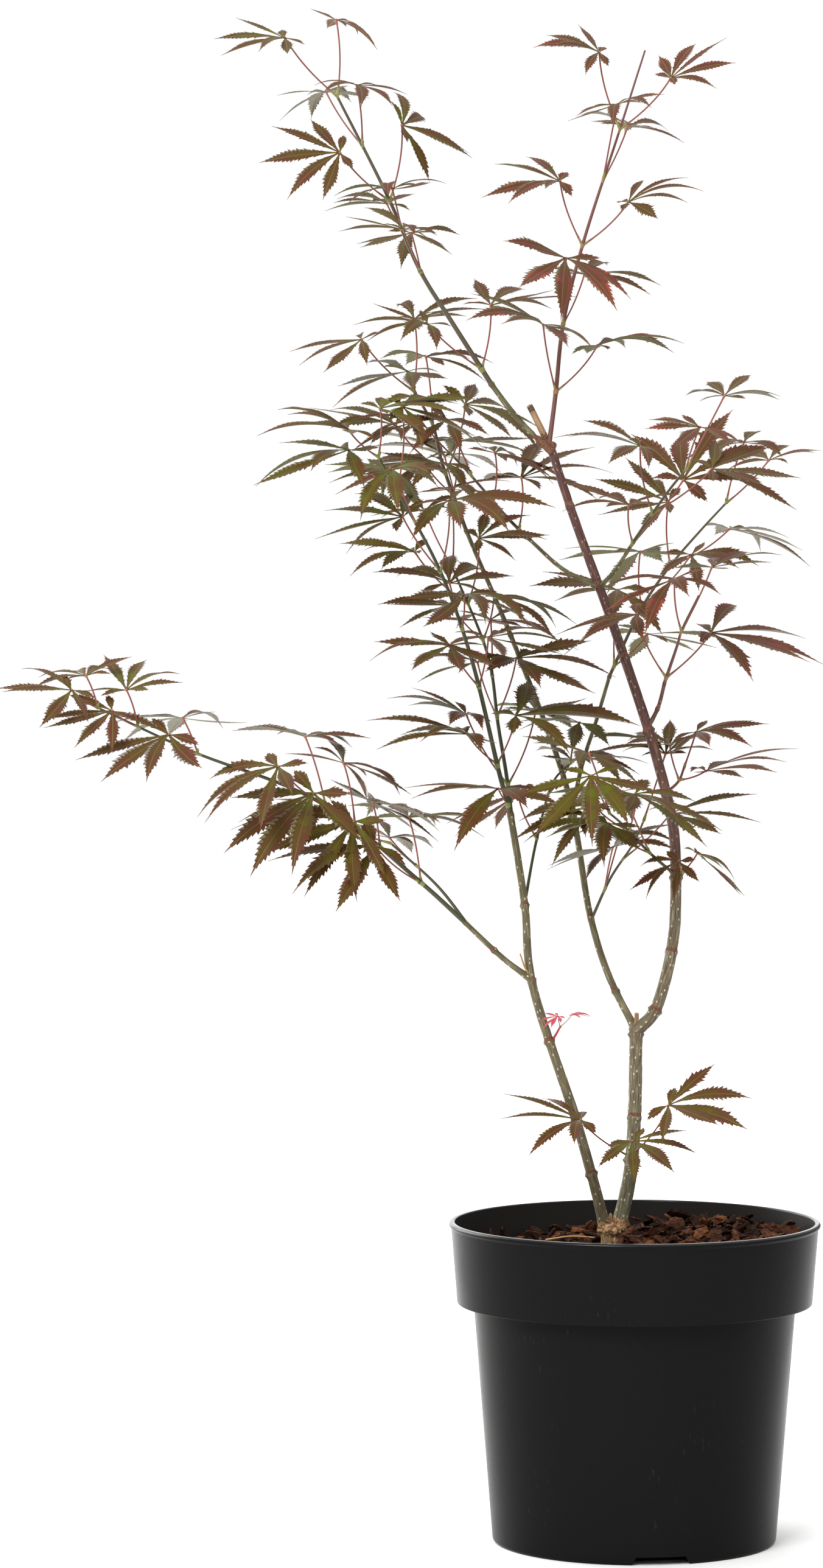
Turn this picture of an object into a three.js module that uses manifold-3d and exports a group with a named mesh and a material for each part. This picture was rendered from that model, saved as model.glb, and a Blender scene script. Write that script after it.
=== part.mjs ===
// A potted japanese maple: a young, open-crowned garden tree in a black nursery pot.
// Millimetres, +Z up. The origin is the middle of the pot's underside. -Y is the front,
// and the crown leans out to the left, towards -X.

import * as THREE from 'three';
import { mergeVertices } from 'three/addons/utils/BufferGeometryUtils.js';
import Module from 'manifold-3d';

const wasm = await Module();
wasm.setup();

// Driving dimensions: fits and counts
const clearance = 0.3;
const roundSides = 40;
const limbSides = 8;
const shootSides = 5;
const stalkSides = 3;
const ringSpacing = 16;
const nudges = [0, 18, -18, 36, -36];

// Driving dimensions: the pot, a five litre one with a deep collar
const pot = {
  height: 198.5,
  rimRadius: 115,
  collarTopRadius: 113.6,
  collarFootRadius: 110,
  collarFoot: 148,
  neckRadius: 100,
  baseRadius: 88,
  wall: 2.2,
  floor: 2.5,
  bead: 3.5,
  corner: 2.5,
};

// Driving dimensions: the drain channels round the pot's base
const drain = {
  count: 3,
  frontAngle: -81.5,
  footWidth: 37,
  topWidth: 31,
  height: 5,
  reach: 18,
  slotLength: 14,
  slotWidth: 6,
};

// Driving dimensions: the bark mulch that fills the pot
const mulch = {
  level: 183,
  seatRadius: 13,
  heap: 8.5,
  dip: 14,
  heapAngle: 12,
  bump: 2.2,
  bumpSpacing: 17,
  rings: 5,
  stepRadius: 67,
};

// Driving dimensions: how a pair of leaves grows
const habit = {
  spread: 46,
  closing: 0.25,
  lift: 0.34,
  wander: 12,
  slope: 4,
  sway: 14,
  roll: 14,
  follow: 0.5,
  stalk: 44,
  leaf: 66,
  shrink: 0.22,
  nod: 8,
};

// Driving dimensions: one leaf, as shares of its middle lobe's length
const blade = {
  lobes: [[0, 1], [31, 0.94], [63, 0.74], [106, 0.34]],
  halfWidth: 0.1,
  widestAt: 0.48,
  smallLobe: 0.5,
  notch: 0.17,
  heel: 0.05,
  droop: 0.09,
  fold: 0.3,
  thickness: 0.022,
  stalkGirth: 0.02,
};

// Limbs: where each one runs, and its girth in millimetres at its foot and at its tip
const foot = mulch.level + clearance;
const limbs = {
  trunk: { way: [[-15, 0, foot], [-15, 0, foot + 6], [-14.4, 0, 198]], girth: [11.6, 15.6] },
  right_stem: { way: [[-9.6, 0, 196], [-3, 2, 226], [0, 5, 264], [1, 8, 316]], girth: [9, 8] },
  right_leader_foot: {
    way: [[1, 8, 316], [11, 6, 326], [18, 3, 345], [24, -2, 378], [25, -5, 414]],
    girth: [7.6, 6.8],
  },
  right_leader: {
    way: [[25, -5, 414], [23, -8, 443], [12, -12, 488], [-14, -18, 566], [-39, -22, 634], [-54, -25, 679]],
    girth: [6.8, 5],
  },
  middle_stem: {
    way: [[1, 8, 316], [-15, 22, 348], [-26, 35, 383], [-40, 57, 462], [-70, 76, 546], [-104, 84, 627]],
    girth: [4.6, 2.6],
  },
  left_stem: {
    way: [[-18.8, -1, 196], [-22.6, -4, 212], [-36, -12, 260], [-65, -30, 352], [-69, -34, 397], [-78, -38, 454]],
    girth: [7, 4],
  },
  low_left_bough: { way: [[-65, -30, 351], [-82, -34, 364], [-106, -42, 387]], girth: [3.6, 3] },
  top_left_bough: {
    way: [[-54, -26, 675], [-67, -24, 687], [-79, -22, 701], [-90, -20, 716]],
    girth: [3.8, 3.2],
  },
  upper_middle_bough: { way: [[-26, -20, 592], [-45, -5, 602], [-67, 15, 622]], girth: [2.8, 2.2] },
  upper_right_bough: { way: [[-23, -20, 591], [-14, -30, 601], [-6, -38, 614]], girth: [2.6, 2.2] },
  back_right_bough: {
    way: [[-38, 54, 448], [-31, 60, 479], [-22, 70, 506], [-13, 78, 535]],
    girth: [2.8, 2.2],
  },
  lower_right_bough: { way: [[6, -14, 503], [13, -18, 517], [17, -22, 533]], girth: [2.6, 2.2] },
  pruned_stub_top: { way: [[-54.5, -23, 678], [-60.5, -20, 691], [-66, -18, 702]], girth: [4.2, 3.8] },
  pruned_stub_fork: { way: [[1, 8, 314], [1.4, 7.6, 327]], girth: [3.4, 2.6] },
};

// Foliage: each mass is one shoot. Its pairs of leaves are given as [share of the shoot's length,
// turn about the shoot in degrees, length of the leaf stalks, slope of the blades in degrees, degrees
// that they tip to the front]. Turn 0 is to the right and 90 to the back, and the last three values
// may be left out.
const shoots = {
  top_left_foliage: {
    way: [[-90, -20, 716], [-114, -14, 754], [-133, -8, 785], [-152, 0, 829], [-184, 10, 893]],
    girth: [3.2, 1.6],
    pairs: [
      [0.05, 30, 44, 4, 10], [0.4, 75, 30], [0.55, -80, 24], [0.64, 25, 44, 4, 30], [0.83, 110],
      [1, 40, 56, 4, 10],
    ],
    leaf: 60,
    shrink: 0.3,
  },
  top_right_foliage: {
    way: [[-54, -25, 679], [-50, -16, 709], [-45, -5, 753], [-33, 5, 801], [-10, 16, 872], [6, 20, 922]],
    girth: [3, 1.1],
    pairs: [
      [0.13, 35, 44, -4, 10], [0.3, 70, 44, 12, 10], [0.5, 10, 44, -8, 22], [0.67, 80],
      [0.8, 5, 50, -12, 34],
    ],
    lift: 0.24,
    slope: -4,
    leaf: 70,
    shrink: 0.45,
    nod: 4,
  },
  middle_top_foliage: {
    way: [[-104, 84, 627], [-119, 78, 669], [-125, 74, 693], [-137, 70, 714]],
    girth: [2.6, 1.6],
    pairs: [[0.1, 100], [0.25, 50, 34, 14], [0.4, 20, 44, 4, 10], [0.74, 80], [1, 40]],
  },
  left_front_foliage: {
    way: [[-78, -38, 454], [-84, -42, 475], [-102, -60, 548], [-121, -76, 601], [-158, -100, 669]],
    girth: [3, 1.5],
    pairs: [
      [0.02, 75, 16], [0.13, 20, 30, 4, 8], [0.34, 50, 36], [0.5, 110, 30], [0.66, -40, 44, 16, 8],
      [0.8, 100, 44, 12], [0.9, 20, 44, 4, 12], [1, 30, 30, 4, 8],
    ],
    leaf: 74,
  },
  left_back_foliage: {
    way: [[-77, -36, 450], [-80, -28, 475], [-85, -18, 506], [-91, -8, 548], [-113, 0, 603]],
    girth: [2.6, 1.4],
    pairs: [
      [0.13, 20, 56], [0.4, 110], [0.56, 60, 44, 8, 10], [0.7, -30, 30, 14],
      [0.85, 0, 44, 4, 16], [1, 110, 44, 10],
    ],
  },
  upper_middle_foliage: {
    way: [[-67, 15, 622], [-78, 22, 633], [-101, 36, 660], [-112, 42, 672]],
    girth: [2.2, 1.4],
    pairs: [[0.1, 15, 34, 4, 12], [0.45, 0, 34, 4, 10], [0.76, 80, 34, 14], [1, 20]],
    stalk: 34,
  },
  upper_right_foliage: {
    way: [[-6, -38, 614], [8, -55, 636], [19, -68, 652], [27, -78, 662]],
    girth: [2.2, 1.4],
    pairs: [[0.08, 50, 44, -28], [0.44, 10, 44, 0, 16], [1, 60, 52]],
  },
  back_right_foliage: {
    way: [[-13, 78, 535], [8, 92, 578], [26, 98, 604], [46, 104, 627], [62, 108, 644]],
    girth: [2.2, 1.3],
    pairs: [[0.05, 60, 44, 12], [0.36, 130], [0.6, 20, 44, 4, 12], [1, 70]],
  },
  lower_right_foliage: {
    way: [[17, -22, 533], [24, -36, 556], [26, -42, 564], [36, -52, 586]],
    girth: [2.2, 1.2],
    pairs: [[0.05, 20, 44, 4, 15], [0.6, 60, 44, 12]],
  },
  leader_spur_foliage: {
    way: [[18, -10, 464], [27, 6, 471], [31, 18, 479]],
    girth: [2, 1.4],
    pairs: [[0.6, 30], [1, 110]],
    stalk: 24,
    lift: 0.2,
  },
  front_middle_foliage: {
    way: [[25, -6, 413], [8, -20, 428], [-10, -45, 447], [-18, -55, 454]],
    girth: [2, 1.3],
    pairs: [[0.35, 80], [0.7, 0, 30, 20], [1, 100, 44, 24]],
    lift: 0.6,
    leaf: 74,
  },
  back_middle_foliage: {
    way: [[-26, 35, 383], [-14, 28, 410], [0, 22, 432], [6, 18, 446]],
    girth: [2, 1.2],
    pairs: [[0.3, 110, 36], [0.62, 40], [1, 100]],
  },
  inner_left_foliage: {
    way: [[-69, -34, 398], [-61, -15, 437], [-50, 0, 472], [-40, 5, 482]],
    girth: [2, 1.3],
    pairs: [[0.44, -25, 32, 30], [0.75, 80, 34], [1, 40, 30]],
    leaf: 64,
  },
  low_left_foliage: {
    way: [[-106, -42, 387], [-133, -50, 412], [-195, -70, 462], [-271, -86, 493], [-326, -95, 519]],
    girth: [3, 1.3],
    pairs: [
      [0.14, 50, 40, 16, 14], [0.27, 60, 30, 24, 14], [0.345, 50, 40, 20, 10], [0.43, 65, 42, 16, 10],
      [0.75, 70, 24, 16, 10], [0.9, 40, 22], [1, 60, 20, 8, 10],
    ],
    lift: 0.75,
    slope: 14,
    leaf: 72,
    shrink: 0.3,
    follow: 1.1,
    nod: 16,
  },
  low_inner_foliage: {
    way: [[-103, -41, 384], [-122, -32, 408], [-151, -22, 434]],
    girth: [2.2, 1.3],
    pairs: [[0.7, 100, 30], [1, 20]],
  },
  foot_foliage: {
    way: [[-2, 4, 236], [-3, -5, 239], [-4, -9, 242]],
    girth: [2, 1.6],
    pairs: [[0.7, 0, 52, 10, 16], [1, -60, 26, 24, 12]],
    leaf: 62,
    lift: 0.35,
    nod: 10,
  },
  leader_node_foliage: {
    way: [[25, -5, 411], [28, -10, 413], [29, -14, 416]],
    girth: [1.8, 1.4],
    pairs: [[1, 30, 14]],
    leaf: 54,
    slope: 30,
  },
  young_sprout: {
    way: [[-52, -21, 312], [-49, -28, 318], [-47, -31, 322]],
    girth: [1.6, 1.2],
    pairs: [[1, 20]],
    stalk: 9,
    leaf: 18,
  },
};

const finishes = {
  pot: { color: 0x1d1e1d, roughness: 0.5 },
  mulch: { color: 0x6d3a26, roughness: 0.95 },
  bark: { color: 0x5d5c4c, roughness: 0.75 },
  purpleBark: { color: 0x4a3234, roughness: 0.6 },
  leaf: { color: 0x66503c, roughness: 0.55 },
  sprout: { color: 0xd0485f, roughness: 0.5 },
};

// A seeded draw between 0 and 1, so that the plant is the same each time
function seededDraw(seed) {
  let state = seed;
  return () => {
    state = (state * 1664525 + 1013904223) % 4294967296;
    return state / 4294967296;
  };
}

// A solid from a closed geometry: shared corners are merged and collapsed faces dropped
function toSolid(geometry) {
  geometry.deleteAttribute('normal');
  geometry.deleteAttribute('uv');
  const merged = mergeVertices(geometry, 1e-4);
  const corners = merged.index.array;
  const faces = [];
  for (let i = 0; i < corners.length; i += 3) {
    const [a, b, c] = [corners[i], corners[i + 1], corners[i + 2]];
    if (a !== b && b !== c && c !== a) faces.push(a, b, c);
  }
  const vertProperties = new Float32Array(merged.attributes.position.array);
  return new wasm.Manifold(new wasm.Mesh({ numProp: 3, vertProperties, triVerts: new Uint32Array(faces) }));
}

function toGeometry(solid) {
  const mesh = solid.getMesh();
  const geometry = new THREE.BufferGeometry();
  geometry.setAttribute('position', new THREE.BufferAttribute(mesh.vertProperties, mesh.numProp));
  geometry.setIndex(new THREE.BufferAttribute(mesh.triVerts, 1));
  return geometry;
}

// The main body of a cut or joined solid, without scraps or sealed hollows
function mainBody(solid) {
  const bodies = solid.decompose();
  return bodies.reduce((best, body) => (body.volume() > best.volume() ? body : best));
}

function lathe(profile) {
  const points = profile.map(([radius, height]) => new THREE.Vector2(radius, height));
  return new THREE.LatheGeometry(points, roundSides).rotateX(Math.PI / 2);
}

// A tapering limb: a straight cylinder whose rings are carried onto a curve through the way points.
// With a margin it is the room that the limb takes, that much larger all round.
function limbSolid({ way, girth }, sides, margin = 0) {
  const points = way.map((point) => new THREE.Vector3(...point));
  const first = points[0].clone().sub(points[1]).setLength(margin);
  const last = points.at(-1).clone().sub(points.at(-2)).setLength(margin);
  points[0].add(first);
  points.at(-1).add(last);
  const curve = new THREE.CatmullRomCurve3(points);
  const rings = Math.max(2, Math.round(curve.getLength() / ringSpacing));
  const frames = curve.computeFrenetFrames(rings);
  const geometry = new THREE.CylinderGeometry(1, 1, rings, sides, rings);
  const position = geometry.attributes.position;
  const cornerReach = margin > 0 ? 1 / Math.cos(Math.PI / sides) : 1;
  for (let i = 0; i < position.count; i++) {
    const ring = Math.round(position.getY(i) + rings / 2);
    const share = ring / rings;
    const radius = (THREE.MathUtils.lerp(girth[0], girth[1], share) / 2 + margin) * cornerReach;
    const place = curve.getPointAt(share);
    place.addScaledVector(frames.binormals[ring], position.getX(i) * radius);
    place.addScaledVector(frames.normals[ring], position.getZ(i) * radius);
    position.setXYZ(i, place.x, place.y, place.z);
  }
  return toSolid(geometry);
}

// The outline of a leaf, in its own plane and in shares of its middle lobe: seven narrow lobes with
// notches between them, folded up from their ribs and drooping to their tips
function leafOutline() {
  const left = blade.lobes;
  const right = left.slice(1).map(([degrees, reach]) => [-degrees, reach]);
  const lobes = [...right.reverse(), ...left];
  const shoulder = THREE.MathUtils.radToDeg(Math.atan(blade.halfWidth / blade.widestAt));
  const outline = [];
  const put = (degrees, reach, raise) => {
    const angle = THREE.MathUtils.degToRad(degrees);
    const drop = blade.droop * reach * reach;
    outline.push(new THREE.Vector3(Math.cos(angle) * reach, Math.sin(angle) * reach, raise - drop));
  };
  lobes.forEach(([degrees, reach], i) => {
    const fold = reach * blade.halfWidth * blade.fold;
    const broad = reach > blade.smallLobe;
    if (broad) put(degrees - shoulder, reach * blade.widestAt, fold);
    put(degrees, reach, 0);
    if (broad) put(degrees + shoulder, reach * blade.widestAt, fold);
    const next = lobes[i + 1];
    if (next) put((degrees + next[0]) / 2, Math.min(reach, next[1]) * blade.notch, 0);
  });
  put(180, blade.heel, 0);
  return outline;
}

const outlineAngles = leafOutline().map((point) => Math.atan2(point.y, point.x));

// One leaf with its stalk, as a single closed skin: a fan of faces above, a fan below that opens
// into the three sides of the stalk, and the stalk down to its root
function leafSolid({ root, elbow, centre, ahead, face, size }) {
  const left = new THREE.Vector3().crossVectors(face, ahead);
  const frame = new THREE.Matrix4().makeBasis(ahead, left, face).setPosition(centre);
  const outline = leafOutline();
  const corners = outline.map((point) => point.multiplyScalar(size).applyMatrix4(frame));
  const edge = corners.length;
  const half = (blade.thickness * size) / 2;
  const radius = (blade.stalkGirth * size) / 2;
  corners.push(centre.clone().addScaledVector(face, half));
  const stations = [centre.clone().addScaledVector(face, -half), elbow, root];
  for (const station of stations) {
    for (let side = 0; side < stalkSides; side++) {
      const angle = (2 * Math.PI * side) / stalkSides;
      const corner = station.clone().addScaledVector(ahead, Math.cos(angle) * radius);
      corners.push(corner.addScaledVector(left, Math.sin(angle) * radius));
    }
  }
  const stalk = (station, side) => edge + 1 + station * stalkSides + (side % stalkSides);
  const sector = (2 * Math.PI) / stalkSides;
  const nearest = (i) => Math.round(outlineAngles[i] / sector + stalkSides) % stalkSides;
  const faces = [];
  for (let i = 0; i < edge; i++) {
    const next = (i + 1) % edge;
    faces.push(edge, i, next, stalk(0, nearest(i)), next, i);
    if (nearest(i) !== nearest(next)) faces.push(stalk(0, nearest(i)), stalk(0, nearest(next)), next);
  }
  for (let station = 0; station < stations.length - 1; station++) {
    for (let side = 0; side < stalkSides; side++) {
      const [a, b] = [stalk(station, side), stalk(station, side + 1)];
      const [c, d] = [stalk(station + 1, side), stalk(station + 1, side + 1)];
      faces.push(a, c, b, b, c, d);
    }
  }
  const last = stations.length - 1;
  faces.push(stalk(last, 0), stalk(last, 2), stalk(last, 1));
  const geometry = new THREE.BufferGeometry().setFromPoints(corners);
  geometry.setIndex(faces);
  return toSolid(geometry);
}

// Where the leaves of one shoot stand, in opposite pairs: every stalk leaves the shoot at an angle
// and bends up towards the light, and its blade lies almost level, sloping outwards and nodding a
// little to the front
function leafPlaces(shoot, seed, nudge) {
  const draw = seededDraw(seed);
  const vary = (amount) => (draw() * 2 - 1) * amount;
  const curve = new THREE.CatmullRomCurve3(shoot.way.map((point) => new THREE.Vector3(...point)));
  const up = new THREE.Vector3(0, 0, 1);
  const rightward = new THREE.Vector3(1, 0, 0);
  const places = [];
  for (const pair of shoot.pairs) {
    const [share, turn, ...given] = pair;
    const stalk = given[0] ?? shoot.stalk ?? habit.stalk;
    const tilt = given[1] ?? shoot.slope ?? habit.slope;
    const tip = given[2] ?? 0;
    const root = curve.getPointAt(share);
    const along = curve.getTangentAt(share);
    const side = new THREE.Vector3(1, 0, 0).addScaledVector(along, -along.x).normalize();
    const back = new THREE.Vector3().crossVectors(along, side);
    const spread = THREE.MathUtils.degToRad(habit.spread * (1 - habit.closing * share));
    for (const half of [0, 180]) {
      const angle = THREE.MathUtils.degToRad(turn + half + nudge + vary(habit.wander));
      const length = stalk * (1 + vary(0.15));
      const shrink = 1 - (shoot.shrink ?? habit.shrink) * share;
      const size = (shoot.leaf ?? habit.leaf) * (1 + vary(0.14)) * shrink;
      const swing = THREE.MathUtils.degToRad(vary(habit.wander));
      const slope = THREE.MathUtils.degToRad(tilt + vary(habit.sway));
      const roll = THREE.MathUtils.degToRad((half ? -tip : tip) + vary(habit.roll));
      const outward = side.clone().multiplyScalar(Math.cos(angle)).addScaledVector(back, Math.sin(angle));
      const aim = along.clone().multiplyScalar(Math.cos(spread)).addScaledVector(outward, Math.sin(spread));
      aim.addScaledVector(up, shoot.lift ?? habit.lift).normalize();
      const centre = root.clone().addScaledVector(aim, length);
      const elbow = root.clone().lerp(centre, 0.5).addScaledVector(outward, length * 0.06);
      const level = outward.clone().addScaledVector(aim, shoot.follow ?? habit.follow).setZ(0);
      level.normalize().applyAxisAngle(up, swing);
      const ahead = level.clone().multiplyScalar(Math.cos(slope)).addScaledVector(up, -Math.sin(slope));
      const across = new THREE.Vector3().crossVectors(up, level);
      const face = new THREE.Vector3().crossVectors(ahead, across).applyAxisAngle(ahead, roll);
      const nod = THREE.MathUtils.degToRad(shoot.nod ?? habit.nod);
      for (const line of [ahead, face]) line.applyAxisAngle(rightward, nod);
      places.push({ root, elbow, centre, ahead, face, size });
    }
  }
  return places;
}

// The leaves of a shoot that keep clear of every other piece: one that touches is tried again a
// little further round the shoot, and is left out if it never fits
function clearLeaves(shoot, seed, others) {
  const options = nudges.map((nudge) => leafPlaces(shoot, seed, nudge));
  const kept = [];
  for (let i = 0; i < options[0].length; i++) {
    const solids = options.map((places) => leafSolid(places[i]));
    const clear = solids.find((solid) => !others.some((other) => touches(solid, other)));
    if (clear) kept.push(clear);
  }
  return kept;
}

function touches(solid, other) {
  return solid.minGap(other, 1) < clearance;
}

// The pot: one turned shell with a floor, and drain channels let into the edge of its base
function potSolid() {
  const outer = [
    [0, 0],
    [pot.baseRadius - pot.corner, 0],
    [pot.baseRadius, pot.corner],
    [pot.neckRadius, pot.collarFoot],
    [pot.collarFootRadius - 0.8, pot.collarFoot],
    [pot.collarFootRadius, pot.collarFoot + 0.8],
    [pot.collarTopRadius, pot.height - pot.bead],
    [pot.rimRadius, pot.height - pot.bead + 1],
    [pot.rimRadius, pot.height - 0.8],
    [pot.rimRadius - 0.8, pot.height],
  ];
  const inner = [
    [pot.collarTopRadius - pot.wall + 0.5, pot.height],
    [pot.collarTopRadius - pot.wall, pot.height - 1.5],
    [pot.collarFootRadius - pot.wall, pot.collarFoot + pot.wall],
    [pot.neckRadius - pot.wall, pot.collarFoot + pot.wall],
    [pot.baseRadius - pot.wall, pot.floor],
    [0, pot.floor],
  ];
  const shell = toSolid(lathe([...outer, ...inner]));
  const envelope = toSolid(lathe([...outer.slice(0, 4), [0, pot.collarFoot]]));
  const channel = (grow, reach, start) => {
    const foot = drain.footWidth / 2 + grow;
    const top = drain.topWidth / 2 + grow;
    const shape = new THREE.Shape([
      new THREE.Vector2(-foot, start),
      new THREE.Vector2(foot, start),
      new THREE.Vector2(top, drain.height + grow),
      new THREE.Vector2(-top, drain.height + grow),
    ]);
    const geometry = new THREE.ExtrudeGeometry(shape, { depth: reach, bevelEnabled: false });
    return geometry.rotateX(Math.PI / 2).rotateZ(Math.PI / 2).translate(pot.baseRadius - drain.reach, 0, 0);
  };
  let solid = shell;
  for (let i = 0; i < drain.count; i++) {
    const angle = THREE.MathUtils.degToRad(drain.frontAngle) + (i * 2 * Math.PI) / drain.count;
    const housing = channel(pot.wall, drain.reach + 2, 0.5).translate(-pot.wall, 0, 0).rotateZ(angle);
    const hollow = channel(0, drain.reach + 10, -1).rotateZ(angle);
    const slot = new THREE.BoxGeometry(drain.slotWidth, drain.slotLength, 3 * pot.wall);
    slot.translate(pot.baseRadius - drain.reach / 2, 0, drain.height + pot.wall / 2).rotateZ(angle);
    solid = solid.add(toSolid(housing).intersect(envelope));
    solid = solid.subtract(toSolid(hollow)).subtract(toSolid(slot));
  }
  return mainBody(solid);
}

// The height of the mulch's surface: uneven bark, heaped towards the right and sunk at the left, with
// a flat seat round the trunk
function mulchHeight(x, y) {
  const seat = new THREE.Vector2(x - limbs.trunk.way[0][0], y - limbs.trunk.way[0][1]).length();
  const away = THREE.MathUtils.smoothstep(seat, mulch.seatRadius, 3 * mulch.seatRadius);
  const heapAngle = THREE.MathUtils.degToRad(mulch.heapAngle);
  const slope = (x * Math.cos(heapAngle) + y * Math.sin(heapAngle)) / pot.rimRadius;
  const wave = Math.sin(x / mulch.bumpSpacing * 2.1) * Math.cos(y / mulch.bumpSpacing * 1.7 + 1);
  return mulch.level + away * ((slope > 0 ? mulch.heap : mulch.dip) * slope + mulch.bump * wave);
}

function mulchSolid() {
  const side = pot.wall + clearance;
  const shoulder = pot.collarFoot + side;
  const lowest = mulch.level - mulch.dip - mulch.bump;
  const rise = (lowest - pot.collarFoot) / (pot.height - pot.collarFoot);
  const topRadius = THREE.MathUtils.lerp(pot.collarFootRadius, pot.collarTopRadius, rise) - side - 0.6;
  const slant = (pot.neckRadius - pot.baseRadius) / pot.collarFoot;
  const stepTop = drain.height + side;
  const profile = [
    [0, pot.floor + clearance],
    [mulch.stepRadius, pot.floor + clearance],
    [mulch.stepRadius, stepTop],
    [pot.baseRadius + slant * stepTop - side - 0.3, stepTop],
    [pot.neckRadius - side - 0.3, shoulder + 0.2],
    [pot.collarFootRadius - side - 0.6, shoulder + 0.2],
    [topRadius, mulch.level],
  ];
  for (let ring = mulch.rings - 1; ring >= 0; ring--) {
    profile.push([(topRadius * ring) / mulch.rings, mulch.level]);
  }
  const geometry = lathe(profile);
  const position = geometry.attributes.position;
  for (let i = 0; i < position.count; i++) {
    if (position.getZ(i) < mulch.level - 0.01) continue;
    position.setZ(i, mulchHeight(position.getX(i), position.getY(i)));
  }
  return toSolid(geometry);
}

function material({ color, roughness }) {
  return new THREE.MeshStandardMaterial({ color, roughness, metalness: 0 });
}

const maple = new THREE.Group();

function addPart(name, solid, finish) {
  const mesh = new THREE.Mesh(toGeometry(solid), material(finish));
  mesh.name = name;
  maple.add(mesh);
}

// Limbs and shoots are seated one on the other: each is cut clear of those before it
const wood = new Map();
const seats = [];
function addWood(name, limb, sides) {
  let solid = limbSolid(limb, sides);
  for (const seat of seats) solid = solid.subtract(seat);
  seats.push(limbSolid(limb, sides, clearance));
  wood.set(name, mainBody(solid));
}

for (const [name, limb] of Object.entries(limbs)) addWood(name, limb, limbSides);
for (const [name, shoot] of Object.entries(shoots)) addWood(name, shoot, shootSides);

// Leaves are fused to their own shoot, and one that would touch any other piece is left out
const masses = new Map(Object.keys(shoots).map((name) => [name, wood.get(name)]));
const potBody = potSolid();
const mulchBody = mulchSolid();
Object.entries(shoots).forEach(([name, shoot], i) => {
  const others = [potBody, mulchBody, ...Object.keys(limbs).map((limb) => wood.get(limb))];
  for (const [otherName, mass] of masses) if (otherName !== name) others.push(mass);
  masses.set(name, mainBody(wasm.Manifold.union([wood.get(name), ...clearLeaves(shoot, i + 1, others)])));
});

addPart('pot', potBody, finishes.pot);
addPart('bark_mulch', mulchBody, finishes.mulch);
for (const name of Object.keys(limbs)) {
  addPart(name, wood.get(name), name === 'right_leader' ? finishes.purpleBark : finishes.bark);
}
for (const name of Object.keys(shoots)) {
  addPart(name, masses.get(name), name === 'young_sprout' ? finishes.sprout : finishes.leaf);
}

export default maple;
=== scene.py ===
# A young japanese maple with narrow, deeply cut leaves, in a black nursery pot.
# Metres, +Z up, and -Y is the front. In the dictionaries, sizes are in millimetres and angles in
# degrees, unless a note says otherwise.

import math

import bpy
import numpy as np
from mathutils import Matrix, Vector, kdtree, noise


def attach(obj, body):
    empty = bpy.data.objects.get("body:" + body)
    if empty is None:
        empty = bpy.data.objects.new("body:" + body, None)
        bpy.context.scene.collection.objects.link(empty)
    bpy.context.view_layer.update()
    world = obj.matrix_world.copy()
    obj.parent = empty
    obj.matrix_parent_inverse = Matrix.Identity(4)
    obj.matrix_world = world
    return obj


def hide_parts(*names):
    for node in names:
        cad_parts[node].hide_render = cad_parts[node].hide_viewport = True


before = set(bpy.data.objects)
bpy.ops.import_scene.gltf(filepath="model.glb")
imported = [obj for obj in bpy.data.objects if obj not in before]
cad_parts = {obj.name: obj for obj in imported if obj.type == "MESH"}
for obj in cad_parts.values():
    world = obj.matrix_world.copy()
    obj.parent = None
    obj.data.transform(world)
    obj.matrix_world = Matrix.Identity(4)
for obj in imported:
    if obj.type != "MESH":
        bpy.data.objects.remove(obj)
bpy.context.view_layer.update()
scene = bpy.context.scene
millimetre = 0.001
up = np.array((0.0, 0.0, 1.0))
rightward = np.array((1.0, 0.0, 0.0))


# Small tools

def toLinear(code):  # an sRGB hex colour as linear red, green, blue and alpha
    parts = [int(code[i:i + 2], 16) / 255 for i in (1, 3, 5)]
    linear = [part / 12.92 if part <= 0.04045 else ((part + 0.055) / 1.055) ** 2.4 for part in parts]
    return (*linear, 1.0)


def setInputs(tree, node, inputs):  # each input gets a link or a value
    for name, value in inputs.items():
        if isinstance(value, bpy.types.NodeSocket):
            tree.links.new(value, node.inputs[name])
        else:
            node.inputs[name].default_value = value


def addNode(tree, kind, settings=None, inputs=None, stops=None):
    node = tree.nodes.new("ShaderNode" + kind)
    for name, value in (settings or {}).items():
        setattr(node, name, value)
    setInputs(tree, node, inputs or {})
    for i, (position, value) in enumerate(stops or []):  # of a colour ramp
        elements = node.color_ramp.elements
        element = elements[i] if i < len(elements) else elements.new(position)
        element.position = position
        element.color = value
    return node


def newMaterial(name):
    material = bpy.data.materials.new(name)
    material.use_nodes = True
    return material, material.node_tree, material.node_tree.nodes["Principled BSDF"]


def plainMaterial(name, colour, roughness, gloss=0.5):
    material, tree, surface = newMaterial(name)
    setInputs(tree, surface, {
        "Base Color": toLinear(colour), "Roughness": roughness, "IOR": 1.45, "Specular IOR Level": gloss})
    return material


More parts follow.
